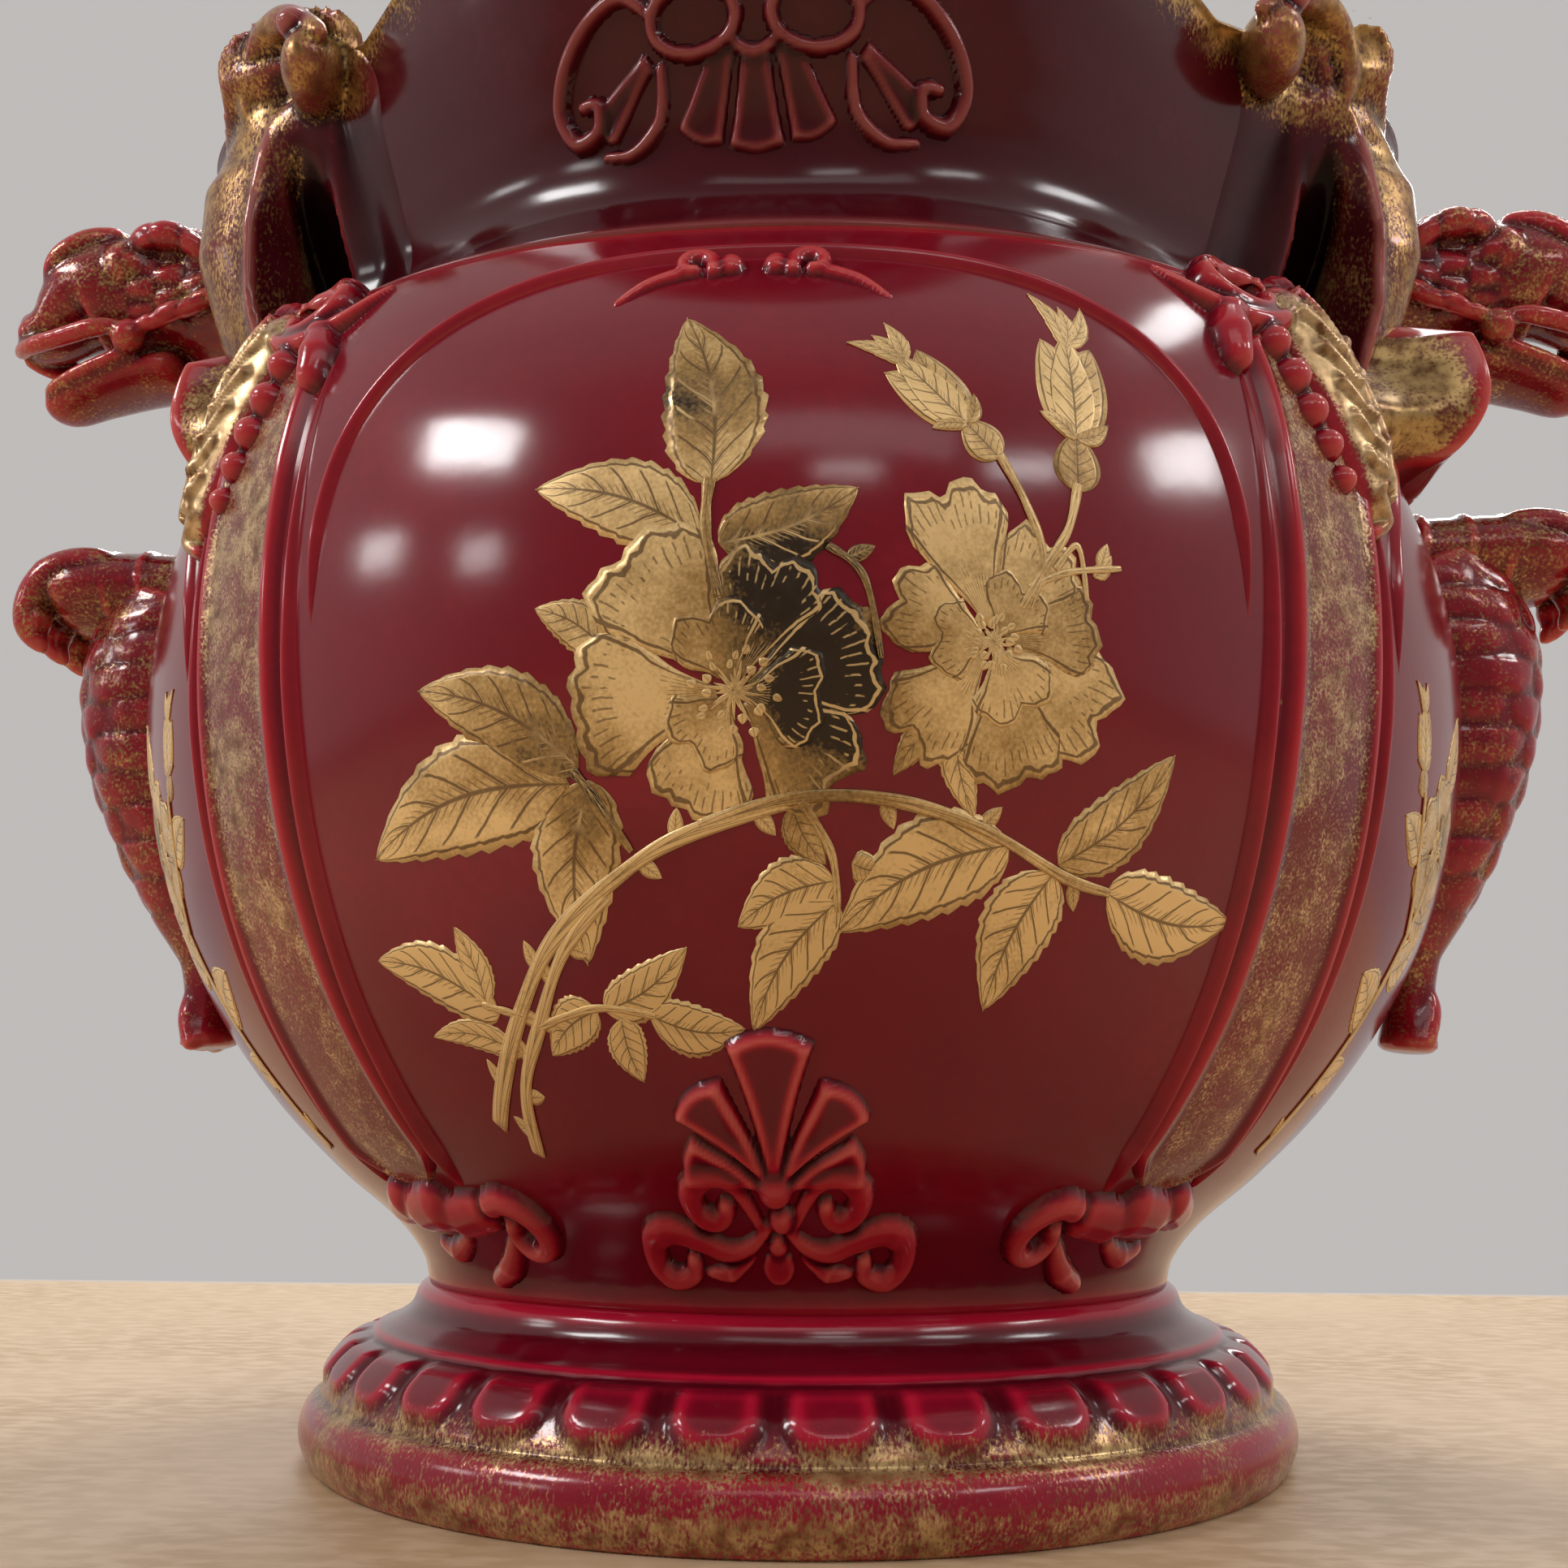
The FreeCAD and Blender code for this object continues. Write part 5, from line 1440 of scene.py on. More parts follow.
@dataclass
class CornerFold(Work):
    """The upright folded spandrel and the rolled scroll at the rim's corner, on one side.

    The lip, where the fold leaves the wall, the arris, the bulge and the end are azimuths, in that order towards the
    handle. The rows give the radii of arris and bulge up the fold, as shares of their largest. Over the fold its
    section moves to the corner and shrinks, as the ear of the scroll.
    """

    side: Side
    lip: float
    lift: float
    arris: float
    bulge: float
    end: float
    arris_radius: float
    bulge_radius: float
    base: float = POT.neck_height - 10.0
    span: float = 60.0
    top_share: float = 1.195
    ear_shift: float = 9.0
    ear_pinch: float = 0.58
    scroll_azimuth: float = 55.0
    scroll_radius: float = 103.0
    scroll_height: float = 225.0
    rows: tuple[Row, ...] = ((0.0, 0.93, 0.9), (0.18, 0.955, 0.925), (0.36, 0.985, 0.96), (0.58, 0.995, 1.0),
                             (0.8, 0.985, 1.0), (0.92, 0.97, 0.97), (0.98, 0.95, 0.95), (1.06, 0.955, 0.95),
                             (1.2, 0.935, 0.93))

    def edge_radius(self, share: Array, column: int) -> Array:
        """Gives the radius of the arris, column 1, or of the bulge, column 2, at shares of the fold's height."""
        table = np.asarray(self.rows)
        return (self.arris_radius, self.bulge_radius)[column - 1] * np.interp(share, table[:, 0], table[:, column])

    def shape(self, around: Array, up: Array) -> Array:
        """Folds the clay: a hollow by the wall, a facet over it, a crisp arris and a full outer flank.

        Args:
            around: Share of the way round the fold's section.
            up: Share of the way up the fold.

        Returns:
            The points there.
        """
        share = np.clip(up, 0, 1) * self.top_share
        level = np.zeros_like(share)
        height = self.base + self.span * share
        arris, bulge = self.edge_radius(share, 1) - 0.4, self.edge_radius(share, 2) - 0.4
        first, middle = self.lip - 4, (self.lip + self.end) / 2
        start = POT.radius(first + level, height) + 0.1 + 0.2 * self.lift * fade(height, 172, 186)
        lip = POT.radius(self.lip + level, height) + self.lift * fade(height, 166, 182)
        section = [(azimuth, POT.radius(azimuth + level, height) + lift)
                   for azimuth, lift in ((self.lip - 12, -2), (self.lip - 9, 0.1))] + [(first, start)]
        open_share = fade(share, 0.88, 0.5)
        for number, (azimuth, radius) in enumerate((
                (self.lip, lip), (self.lip + 1.5, lip - 2.2), (self.arris + 4.5, lip + 0.4),
                (self.arris + 1.0, lip + 0.42 * (arris - lip))), 1):
            part = number / 5.2
            flat_turn, flat_reach = first + (self.arris - 0.5 - first) * part, start + (arris - 0.3 - start) * part
            section.append((flat_turn + open_share * (azimuth - flat_turn),
                            flat_reach + open_share * (radius - flat_reach)))
        section += [(self.arris - 0.5, arris - 0.3), (self.arris + 0.4, arris + 0.1), (self.arris + 1.8, arris - 0.2),
                    (self.bulge, bulge)]
        section += [(azimuth, POT.radius(azimuth + level, height) - depth)
                    for azimuth, depth in ((self.end, -0.6), (self.end, 3.0), (middle, 3.6))]
        ear = fade(height, 212, 226)
        turns = np.stack([turn - ear * (self.ear_shift + self.ear_pinch * (turn - middle)) for turn, _ in section])
        radii = np.stack([radius for _, radius in section])
        close = np.sqrt(1 - (1 - np.clip(np.minimum(up / 0.06, (1 - up) / 0.11), 0, 1)) ** 2)
        core, spine = POT.radius(middle + level, height) - 2 + 3.5 * ear, middle - self.ear_shift * ear
        return POT.at(spine + (loop_round(turns, around) - spine) * close,
                      core + (loop_round(radii, around) - core) * close, height)

    def spot(self, beside: float, rise: float, reach: float) -> Row:
        """Gives a point of the scroll.

        Args:
            beside: How far it lies towards the handle from the scroll's middle.
            rise: How far it lies over it.
            reach: How far it lies out from it.

        Returns:
            The point.
        """
        turn = radians(self.scroll_azimuth)
        out, sideways = np.array([sin(turn), -cos(turn), 0]), np.array([cos(turn), sin(turn), 0])
        return tuple(POT.at(self.scroll_azimuth, self.scroll_radius, self.scroll_height) + sideways * beside
                     + np.array([0, 0, rise]) + out * reach)

    def model(self) -> Piece:
        """Folds the spandrel, sets the scroll on it and presses in its dents.

        Returns:
            The piece for the front right corner.
        """
        parts = [Bench.skin("fold", 112, 84, self.shape)]
        parts.append(Bench.coil([self.spot(*row) for row in (
            (-17.0, -3.4, -2.0), (-11.0, 1.0, -0.6), (-5.0, 5.0, 0.6), (1.0, 6.4, 1.6), (6.5, 4.6, 2.4),
            (9.6, -1.0, 2.6), (9.8, -7.0, 2.0))], [1.5, 2.3, 2.9, 3.0, 2.9, 2.4, 1.4]))
        parts.append(Bench.ball(self.spot(-8.0, -5.0, -3.4), (5.2, 8.4, 6.4)))
        parts.append(Bench.ball(self.spot(-10.0, 1.2, 1.2), (2.8, 3.0, 2.6)))
        lump = Bench.lump("corner_fold", parts, 0.65, 4)
        places, facing = Bench.read(lump), Bench.normals(lump)
        for dent, size, depth in ((self.spot(1.0, -3.0, 0.0), 4.4, 2.4), (self.spot(-6.0, 1.0, -1.0), 2.6, 1.4)):
            near = np.exp(-((places - dent) ** 2).sum(axis=1) / size ** 2)
            places -= facing * (near * depth)[:, None]
        Bench.write(lump, places)
        Bench.seat(lump)
        return lump

    def paint(self, places: Array) -> tuple[Array, Array]:
        """Says how the fold's parts are glazed.

        Args:
            places: The places of its vertices.

        Returns:
            How much gold lies on each vertex, and how much thinner the glaze is there; the hollow by the wall gets a
            strongly negative value, painted shade that glazes it near-black.
        """
        azimuth, reach, height = corner_azimuth(places), reach_of(places), places[:, 2]
        lifted = reach - POT.radius(azimuth, height)
        away = self.edge_radius((height - self.base) / self.span, 1) - reach
        # Painted shade: the hollow between the wall and the facet, low on the fold, is glazed near-black as pooled
        # glaze; the mask also reaches round the arris at the fold's foot, where it paints a dark wedge.
        hollow = (fade(lifted, 0.75 * self.lift + 3.2, 0.75 * self.lift + 1.6) * fade(height, 215, 209)
                  * fade(azimuth, self.lip - 0.6, self.lip + 0.6) * fade(azimuth, self.arris + 9, self.arris + 7))
        facet = fade(away, 1.2, 2.6) * fade(azimuth, self.arris + 2.6, self.arris + 1.2) * fade(height, 216, 211)
        wall = fade(azimuth, self.lip + 0.5, self.lip - 1.5) * fade(height, 214, 208)
        edge = np.exp(-((azimuth - self.arris - 0.2) / 1.1) ** 2) * fade(away, 2.2, 1.2) * fade(height, 217, 213)
        dent, knob = (np.exp(-((np.abs(places) - np.abs(spot)) ** 2).sum(axis=1) / spread)
                      for spot, spread in ((self.spot(0.0, -3.0, 1.0), 16.0), (self.spot(-10.0, 1.2, 1.2), 14.0)))
        plain = np.clip(hollow + wall + 0.45 * facet + 0.8 * edge + dent + knob, 0, 1)
        return (0.58 * (1 - plain) * fade(height, 172, 182) * fade(azimuth, 42, 47),
                0.1 * (1 - wall) - 0.5 * hollow - 0.1 * facet + 0.3 * edge - 0.1 * dent + 0.2 * knob)

    def build(self) -> None:
        """Models and glazes the fold with its scroll on both corners of this side."""
        lump = self.model()
        for corner in Corner.on(self.side):
            piece = Bench.to_corner(lump, "corner_fold_glazed_", corner)
            gold, wash_and_painted_shade = self.paint(Bench.read(piece))
            nodes = ["corner_fold_" + corner.word, "rim_scroll_" + corner.word]
            self.finisher.glaze(piece, "collar_glaze", nodes, gold, 2, 2.2, wash_and_painted_shade)
        bpy.data.objects.remove(lump)


# Handles

@dataclass
class Dragon(Work):
    """A winged dragon whose head and foreleg reach out from one side of the pot."""

    side: Side
    head_height: float
    claw_height: float
    wing_edge: float
    reach: float = 156.5
    root: float = 92.0
    neck_half_height: float = 14.5
    claw_reach: float = 147.0
    claw_half_height: float = 9.5
    tail_height: float = 65.0
    tail_reach: float = 107.5
    wing_height: float = 157.0
    wing_span: float = 37.0
    wing_rows: tuple[Row, ...] = ((0.0, 0.935), (0.1, 0.972), (0.24, 0.997), (0.4, 1.0), (0.58, 0.983), (0.75, 0.95),
                                  (1.0, 0.91))

    def spot(self, along: float, across: float, rise: float) -> Row:
        """Gives a point of the head from its share of the reach, its Y and its rise over the head's height."""
        return (self.root + (self.reach - self.root) * along, across, self.head_height + rise)

    def mirrored_pair(self, points: Sequence[Row], widths: Sequence[float]) -> list[Piece]:
        """Rolls the same coil on both cheeks, from each point's share of the reach, Y and rise."""
        return [Bench.coil([self.spot(along, sign * across, rise) for along, across, rise in points], widths,
                           rows=28, cap=0.2) for sign in (-1, 1)]

    @staticmethod
    def oval_coil(path: Sequence[Row], rows: Sequence[Row], wide: float, high: float, stations: int, cap: float
                  ) -> Piece:
        """Rolls a coil that lies flat, whose half widths and heights the rows' last two columns give in shares."""
        return Bench.coil(path, [wide * row[-2] for row in rows], [high * row[-1] for row in rows], (0, 1, 0),
                          stations, cap)

    def head(self) -> None:
        """Models neck, head and open jaw."""
        tall = self.neck_half_height
        rows = ((0.0, -0.45, 1.0, 0.95), (0.17, -0.2, 0.98, 1.0), (0.34, 0.0, 0.92, 0.96), (0.5, 0.06, 0.84, 0.92),
                (0.62, 0.08, 0.8, 0.9), (0.71, 0.12, 0.84, 0.88), (0.79, 0.08, 0.8, 0.78), (0.85, -0.14, 0.68, 0.56),
                (0.9, -0.36, 0.55, 0.4), (0.96, -0.5, 0.46, 0.3), (1.0, -0.56, 0.34, 0.2))
        parts = [Bench.coil([self.spot(row[0], 0, tall * row[1]) for row in rows], [14.6 * row[2] for row in rows],
                            [tall * row[3] * 0.97 for row in rows], (0, 1, 0), 60, 0.06)]
        jaw = ((0.46, -1.0, 1.0, 1.0), (0.62, -1.14, 1.0, 0.8), (0.75, -1.32, 0.86, 0.75), (0.84, -1.47, 0.68, 0.75),
               (0.9, -1.42, 0.46, 0.5))
        parts.append(self.oval_coil([self.spot(row[0], 0, tall * row[1]) for row in jaw], jaw, 8.8, 4.4, 36, 0.12))
        balls = [((0.75, 0, 11.2), (6.6, 7.0, 5.4), 0), ((0.845, 0, -21.6), (2.9, 4.4, 2.7), 0),
                 ((0.5, 0, 9.6), (8.5, 9.0, 6.0), 0)]
        balls += [((0.12 + 0.125 * index, 0, 10.2 + 0.9 * index), (3.8, 3.4, 4.4), 20) for index in range(4)]
        balls += [((along, sign * beside, rise), radii, turn)
                  for sign in (-1, 1) for along, beside, rise, radii, turn in (
                      (0.82, 8.6, 2.4, (2.9, 2.5, 2.7), 0), (0.955, 3.6, -4.6, (2.5, 2.0, 2.0), 0),
                      (0.6, 10.4, -11.2, (3.4, 2.8, 3.2), 0), (0.63, 9.2, 4.0, (5.6, 4.0, 5.4), -20))]
        parts += [Bench.ball(self.spot(*place), radii, turn) for place, radii, turn in balls]
        parts += self.mirrored_pair(((0.66, 6.5, 12.4), (0.76, 8.8, 10.0), (0.85, 8.8, 6.2), (0.9, 6.4, 2.0)),
                                    (1.8, 2.5, 2.3, 1.3))
        parts += self.mirrored_pair(((0.6, 11.0, -9.2), (0.7, 11.0, -9.6), (0.82, 9.0, -10.6), (0.92, 6.6, -11.0),
                                     (0.99, 2.4, -10.2), (1.0, 0.0, -9.4)), (1.4, 1.9, 1.9, 1.8, 1.6, 1.3))
        parts += self.mirrored_pair(((0.58, 9.4, -13.4), (0.68, 8.6, -15.6), (0.78, 7.4, -17.8), (0.86, 5.0, -19.6),
                                     (0.895, 0.0, -19.8)), (1.4, 1.5, 1.4, 1.3, 1.2))
        parts += self.mirrored_pair(((0.62, 10.6, 7.4), (0.52, 13.2, 8.4), (0.42, 13.8, 7.0), (0.34, 12.6, 3.0)),
                                    (1.8, 2.6, 2.4, 1.2))
        parts += self.mirrored_pair(((0.2, 13.6, -2.0), (0.34, 13.4, -5.0), (0.48, 12.4, -8.2), (0.6, 10.6, -10.6)),
                                    (1.4, 1.8, 1.8, 1.2))
        head = Bench.lump("dragon_head_glazed_" + self.side.word, parts, 0.72, 4)
        places, facing = Bench.read(head), Bench.normals(head)
        neck = fade(places[:, 0], 136, 128) * fade(places[:, 2], self.head_height - 11, self.head_height - 7)
        scales = self.scales(places[:, 0], np.arctan2(places[:, 1], places[:, 2] - self.head_height) * 13, 6.0, 5.6)
        Bench.write(head, places + facing * (scales * neck)[:, None])
        self.glaze(head, ["head", "neck", "jaw"], 0.36)

    @staticmethod
    def scales(along: Array, around: Array, pitch: float, width: float) -> Array:
        """Gives the height of overlapping scales, whose tips point to a growing along.

        Args:
            along: Places along the skin.
            around: Places across it.
            pitch: Length of a scale.
            width: Width of a scale.

        Returns:
            The heights there.
        """
        row = np.floor(along / pitch)
        share = along / pitch - row
        offset = np.mod(around / width + 0.5 * np.mod(row, 2), 1.0) - 0.5
        tip = 1 - (2 * np.abs(offset)) ** 2
        rise = np.clip(1.15 * tip - 0.9 * share ** 2 + 0.1, 0, 1) * (0.35 + 0.65 * share)
        return rise - 0.3

    def glaze(self, obj: Piece, nodes: Sequence[str], gold: float) -> None:
        """Turns a part to its side and glazes it.

        Args:
            obj: The part, as for the right side.
            nodes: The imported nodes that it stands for, without their side.
            gold: How much gold lies on it.
        """
        Bench.seat(obj)
        if self.side is Side.LEFT:
            Bench.write(obj, Bench.read(obj) * np.array([-1, 1, 1]))
            obj.data.flip_normals()
        self.finisher.glaze(obj, "dragon_glaze", [f"dragon_{node}_{self.side.word}" for node in nodes], gold, 2, 1.7)

    def claw(self) -> None:
        """Models the foreleg with its bands and three toes."""
        height, tall = self.claw_height, self.claw_half_height
        root = POT.radius_at(90.0, height) - 2.75
        reach = self.claw_reach - root
        rows = ((-0.1, -0.1, 0.98, 0.98), (0.12, -0.02, 0.95, 0.95), (0.3, 0.05, 0.93, 0.9), (0.6, 0.1, 0.97, 0.88),
                (0.82, 0.0, 0.92, 0.78), (0.92, -0.2, 0.66, 0.52))
        parts = [self.oval_coil([(root + reach * row[0], 0, height + tall * row[1]) for row in rows], rows, 13.2, 9.3,
                                40, 0.1)]
        for share, wide in ((0.2, 13.1), (0.4, 13.0), (0.58, 12.8)):
            parts.append(Bench.ball((root + reach * share, 0, height + 0.6), (2.3, wide, 9.4), -8))
        for step in (-1, 0, 1):
            toe = ((0.56, 0.5), (0.72, 0.52), (0.86, 0.34), (0.94, -0.15), (0.95, -0.75), (0.86, -1.3))
            parts.append(Bench.coil([(root + reach * along, step * 8.4, height + tall * rise) for along, rise in toe],
                                    [2.8, 3.6, 3.7, 3.6, 2.9, 1.2], rows=36))
            parts.append(Bench.ball((root + reach * 0.88, step * 8.4, height + 3.4), (3.4, 3.5, 3.2)))
            parts.append(Bench.ball((root + reach * 0.93, step * 8.4, height - 6.0), (3.1, 3.2, 3.6)))
        claw = Bench.lump("dragon_claw_glazed_" + self.side.word, parts, 0.7, 3)
        self.glaze(claw, ["claw"], 0.4)

    def body(self) -> None:
        """Models the scaly body and the flared tail."""
        top, low = self.claw_height - 2.85, self.tail_height
        bottom = low + (top - low) * 0.2
        rows = ((0.15, 0.95, 1.0), (0.22, 1.0, 1.04), (0.2, 0.95, 0.9), (0.12, 0.8, 0.74), (0.05, 0.64, 0.58),
                (0.02, 0.46, 0.4))
        path = []
        for index, row in enumerate(rows):
            height = top + (bottom - top) * index / (len(rows) - 1)
            path.append(tuple(POT.on(np.full(1, 90.0), np.full(1, height), np.full(1, 18 * row[0] - 1.0))[0]))
        parts = [self.oval_coil(path, rows, 15.3, 17.6, 70, 0.05)]
        start = low + (top - low) * 0.26
        root = POT.radius_at(90.0, start)
        tail = ((-0.3, -0.25, 0.5, 0.4), (0.0, 0.0, 0.46, 0.38), (0.15, 0.4, 0.34, 0.26), (0.5, 0.72, 0.38, 0.25),
                (0.84, 0.98, 0.52, 0.3))
        parts.append(self.oval_coil([(root + (self.tail_reach - root) * row[0], 0, start - (start - low) * row[1])
                                     for row in tail], tail, 15.5, 17.5, 40, 0.1))
        for sign in (-1, 0, 1):
            parts.append(Bench.coil([(root + 1, sign * 2.0, start - 9), (root + 1.5, sign * 3.6, start - 15),
                                     (root - 0.5, sign * 6.2, start - 21.5)], [1.5, 2.2, 1.6], rows=20))
        body = Bench.lump("dragon_body_glazed_" + self.side.word, parts, 0.8, 3)
        places, facing = Bench.read(body), Bench.normals(body)
        scales = self.scales(-places[:, 2], places[:, 1], 6.4, 6.6)
        band = fade(places[:, 2], start - 2, start + 6) * fade(places[:, 2], top + 2, top - 4)
        Bench.write(body, places + facing * (scales * band * 1.1)[:, None])
        self.glaze(body, ["body", "tail"], 0.36)

    def wing_shape(self, around: Array, up: Array) -> Array:
        """Wraps a wing leaf: a ribbed hollow, a crisp edge, and a flank behind it.

        Args:
            around: Share of the way round the leaf's section.
            up: Share of the way up the leaf.

        Returns:
            The points there, for the front right wing.
        """
        height, level = self.wing_height + self.wing_span * up, np.full_like(up, 1.0)
        line = through(self.wing_rows, 201)
        spread = self.wing_edge * np.interp(up, line[:, 0], line[:, 1]) - 0.3
        inner = POT.on(51.5 + 14.5 * 0.75 * (1 - up) ** 3 + 9.5 * fade(height, 163, 176), height, -1.0)
        edge = POT.at(65.6 * level, spread, height)
        rim = POT.at(66.6 * level, spread + 0.1, height)
        lip = POT.at(69.0 * level, spread - 2.2, height)
        ribs = 0.6 * np.cos(2 * pi * 3.2 * up)
        hollow = inner + (edge - inner) * 0.55
        hollow = hollow + unit(hollow * np.array([-1, -1, 0])) * (1.8 + ribs)[:, None]
        near = POT.radius(76.0 * level, height)
        flank = POT.at(76.0 * level, near + 0.42 * (spread - near) + ribs, height)
        heel = POT.on(83.0 * level, height, -1.0)
        middle = (inner + heel) / 2
        place = loop_round(np.stack([inner, hollow, edge, rim, lip, flank, heel, middle]), around)
        small = np.minimum(np.sqrt(np.clip(up / 0.05, 0, 1)), np.clip((1 - up) / 0.42, 0, 1) ** 0.8)[:, None]
        return middle + (place - middle) * small

    def wings(self) -> None:
        """Models the wing leaves on both shoulders."""
        wing = Bench.skin("wing", 88, 84, self.wing_shape)
        Bench.seat(wing)
        for corner in Corner.on(self.side):
            piece = Bench.to_corner(wing, "dragon_wing_glazed_", corner)
            azimuth = corner_azimuth(Bench.read(piece))
            gold = 0.56 * fade(azimuth, 65.9, 64.8) + 0.12
            wash_and_painted_shade = 0.3 * fade(np.abs(azimuth - 66.1), 1.2, 0.3) - 0.06
            self.finisher.glaze(piece, "dragon_glaze", ["dragon_wing_" + corner.word], gold, 2, 2.6, wash_and_painted_shade)
        bpy.data.objects.remove(wing)

    def build(self) -> None:
        """Models the whole handle."""
        self.head()
        self.claw()
        self.body()
        self.wings()


# The gilt spray

class Layer(Enum):
    """How the touches of a spray lie over each other, lowest first."""

    STEM = 0
    LEAF = 2
    OUTER_PETAL = 4
    INNER_PETAL = 11
    STAMEN = 13


@dataclass
class Spray:
    """A spray of wild roses in raised gold on one panel, laid in a flat drawing of azimuths and heights."""

    name: str
    azimuth: float
    flip: int = 1
    # Spots where the gold is painted darker as a reflection of dark surroundings: across, height, size and how much
    # darker.
    shades: tuple[Row, ...] = ()
    drawn_radius: float = 115.0
    parts: list[Piece] = field(default_factory=list)

    def patch(self, outline: Drawing, columns: int, rows: int, petal: float, tone: float, level: float) -> None:
        """Lays one touch of gold.

        Args:
            outline: Gives places across and up, in millimetres, from shares along and over the touch.
            columns: Faces over the touch.
            rows: Faces along it.
            petal: 1 for a petal's engraving and 0 for a leaf's.
            tone: How bright the gold is, a painted reflection of the surroundings that the gold mirrors.
            level: How many layers lie under it.
        """
        kept = {}

        def shape(over: Array, along: Array) -> Array:
            """Lays the touch on the pot and keeps what its engraving needs."""
            across, height = outline(along, over * 2 - 1)
            shade = np.full_like(along, tone)
            # Painted reflection: the gold is darkened round each spot, where it mirrors dark surroundings.
            for middle, rise, size, depth in self.shades:
                shade -= depth * np.exp(-((across - middle) ** 2 + (height - rise) ** 2) / size ** 2)
            kept.update(along=along, side=over * 2 - 1, tone=shade)
            azimuth = self.azimuth + self.flip * np.degrees(across / self.drawn_radius)
            edge = fade(1 - np.abs(over * 2 - 1), 0, 0.12) * fade(1 - along, 0, 0.06)
            return POT.on(azimuth, height, 0.06 + 0.012 * level + 0.05 * edge)

        touch = Bench.skin("touch", columns, rows, shape, closed=False)
        for word, values in kept.items():
            Bench.mark(touch, word, values)
        Bench.mark(touch, "petal", np.full(len(kept["along"]), petal))
        if self.flip < 0:
            touch.data.flip_normals()
        self.parts.append(touch)

    def leaf(self, across: float, height: float, tilt: float, length: float, width: float, tone: float = 0.5,
             bend: float = 0.08, teeth: int = 9, level: float | None = None) -> None:
        """Lays a leaf.

        Args:
            across: Place of its stalk end across the panel.
            height: Height of its stalk end.
            tilt: Its direction in degrees from straight up, clockwise.
            length: Its length.
            width: Its half width.
            tone: How bright the gold is, a painted reflection of the surroundings that the gold mirrors.
            bend: How far it curves, as a share of its length.
            teeth: Teeth along each edge.
            level: How many layers lie under it, or None for a leaf's own.
        """
        def outline(along: Array, side: Array) -> tuple[Array, Array]:
            """Draws the leaf with its teeth and waves."""
            half = width * np.sin(pi * np.clip(along, 0, 1) ** 0.74) ** 0.8
            saw = np.mod(along * teeth, 1.0)
            half = half * (1 + 0.12 * saw * (np.abs(side) > 0.99)) + 0.14 * (1 - along)
            beside = half * side + bend * length * np.sin(pi * along)
            forward = length * along + 0.06 * width * np.cos(5 * side) * along
            lean = radians(tilt)
            return (forward * sin(lean) + beside * cos(lean) + across,
                    forward * cos(lean) - beside * sin(lean) + height)

        layer = Layer.LEAF.value + len(self.parts) % 2 if level is None else level
        columns, rows = (8, 36) if length > 5 else (4, 9)
        self.patch(outline, columns, rows, 0.0, tone, layer)

    def petal(self, centre: Row, tilt: float, radius: float, spread: float, tone: float, level: float,
              notch: float = 0.08) -> None:
        """Lays a petal round a flower's middle.

        Args:
            centre: The flower's middle, across and up.
            tilt: The petal's direction in degrees from straight up, clockwise.
            radius: How far it reaches.
            spread: Half its angle in degrees.
            tone: How bright the gold is, a painted reflection of the surroundings that the gold mirrors.
            level: How many layers lie under it.
            notch: How deep its tip is notched.
        """
        def outline(along: Array, side: Array) -> tuple[Array, Array]:
            """Draws the petal with its ruffled, notched end."""
            ruffle = 0.03 * np.sin(side * 8 + tilt) + 0.018 * np.sin(side * 19 + 2 * tilt)
            end = 1 - 0.24 * np.abs(side) ** 3 - notch * np.exp(-(side / 0.22) ** 2) + ruffle
            reach = radius * (0.1 + (end - 0.1) * along)
            wave = 0.04 * np.sin(9 * along + tilt) * side
            turn = np.radians(tilt + spread * side * (0.55 + 0.45 * np.sin(pi * 0.55 * along)) * (1 + wave))
            return reach * np.sin(turn) + centre[0], reach * np.cos(turn) + centre[1]

        self.patch(outline, 18, 16, 1.0, tone, level)

    def bloom(self, centre: Row, petals: Sequence[Row], inner: Sequence[Row], stamens: float) -> None:
        """Lays an open wild rose.

        Args:
            centre: Its middle, across and up.
            petals: Tilt, reach, half angle and tone of each outer petal.
            inner: The same of each inner petal.
            stamens: Radius of the ring of stamens.
        """
        for index, (tilt, reach, spread, tone) in enumerate(petals):
            self.petal(centre, tilt, reach, spread, tone, Layer.OUTER_PETAL.value + index)
        for index, (tilt, reach, spread, tone) in enumerate(inner):
            self.petal(centre, tilt, reach, spread, tone, Layer.INNER_PETAL.value + 0.6 * index, 0.14)
        for index in range(22):
            turn = radians(index * 360 / 22 + 5 * sin(3.7 * index))
            reach = stamens * (0.82 + 0.24 * sin(2.3 * index))
            tilt = np.degrees(turn)
            self.leaf(centre[0], centre[1], tilt, reach * 0.86, 0.16, 1.1, 0.03, 1, Layer.STAMEN.value)
            self.leaf(centre[0] + reach * sin(turn), centre[1] + reach * cos(turn), tilt + 20, 1.2, 0.5, 1.2, 0.0, 1,
                      Layer.STAMEN.value)

    def stem(self, points: Sequence[Row], half: float, tone: float = 0.75, thorns: int = 0) -> None:
        """Lays a stem.

        Args:
            points: Places across and heights that it follows.
            half: Half its width.
            tone: How bright the gold is, a painted reflection of the surroundings that the gold mirrors.
            thorns: How many thorns stand on it.
        """
        line = through(points, 61)
        ahead = unit(np.gradient(line, axis=0))

        def outline(along: Array, side: Array) -> tuple[Array, Array]:
            """Draws the stem along its line."""
            index = np.rint(along * 60).astype(int)
            width = half * (1 - 0.35 * along) * side * (1 + 0.12 * np.sin(17 * along))
            return line[index, 0] - ahead[index, 1] * width, line[index, 1] + ahead[index, 0] * width

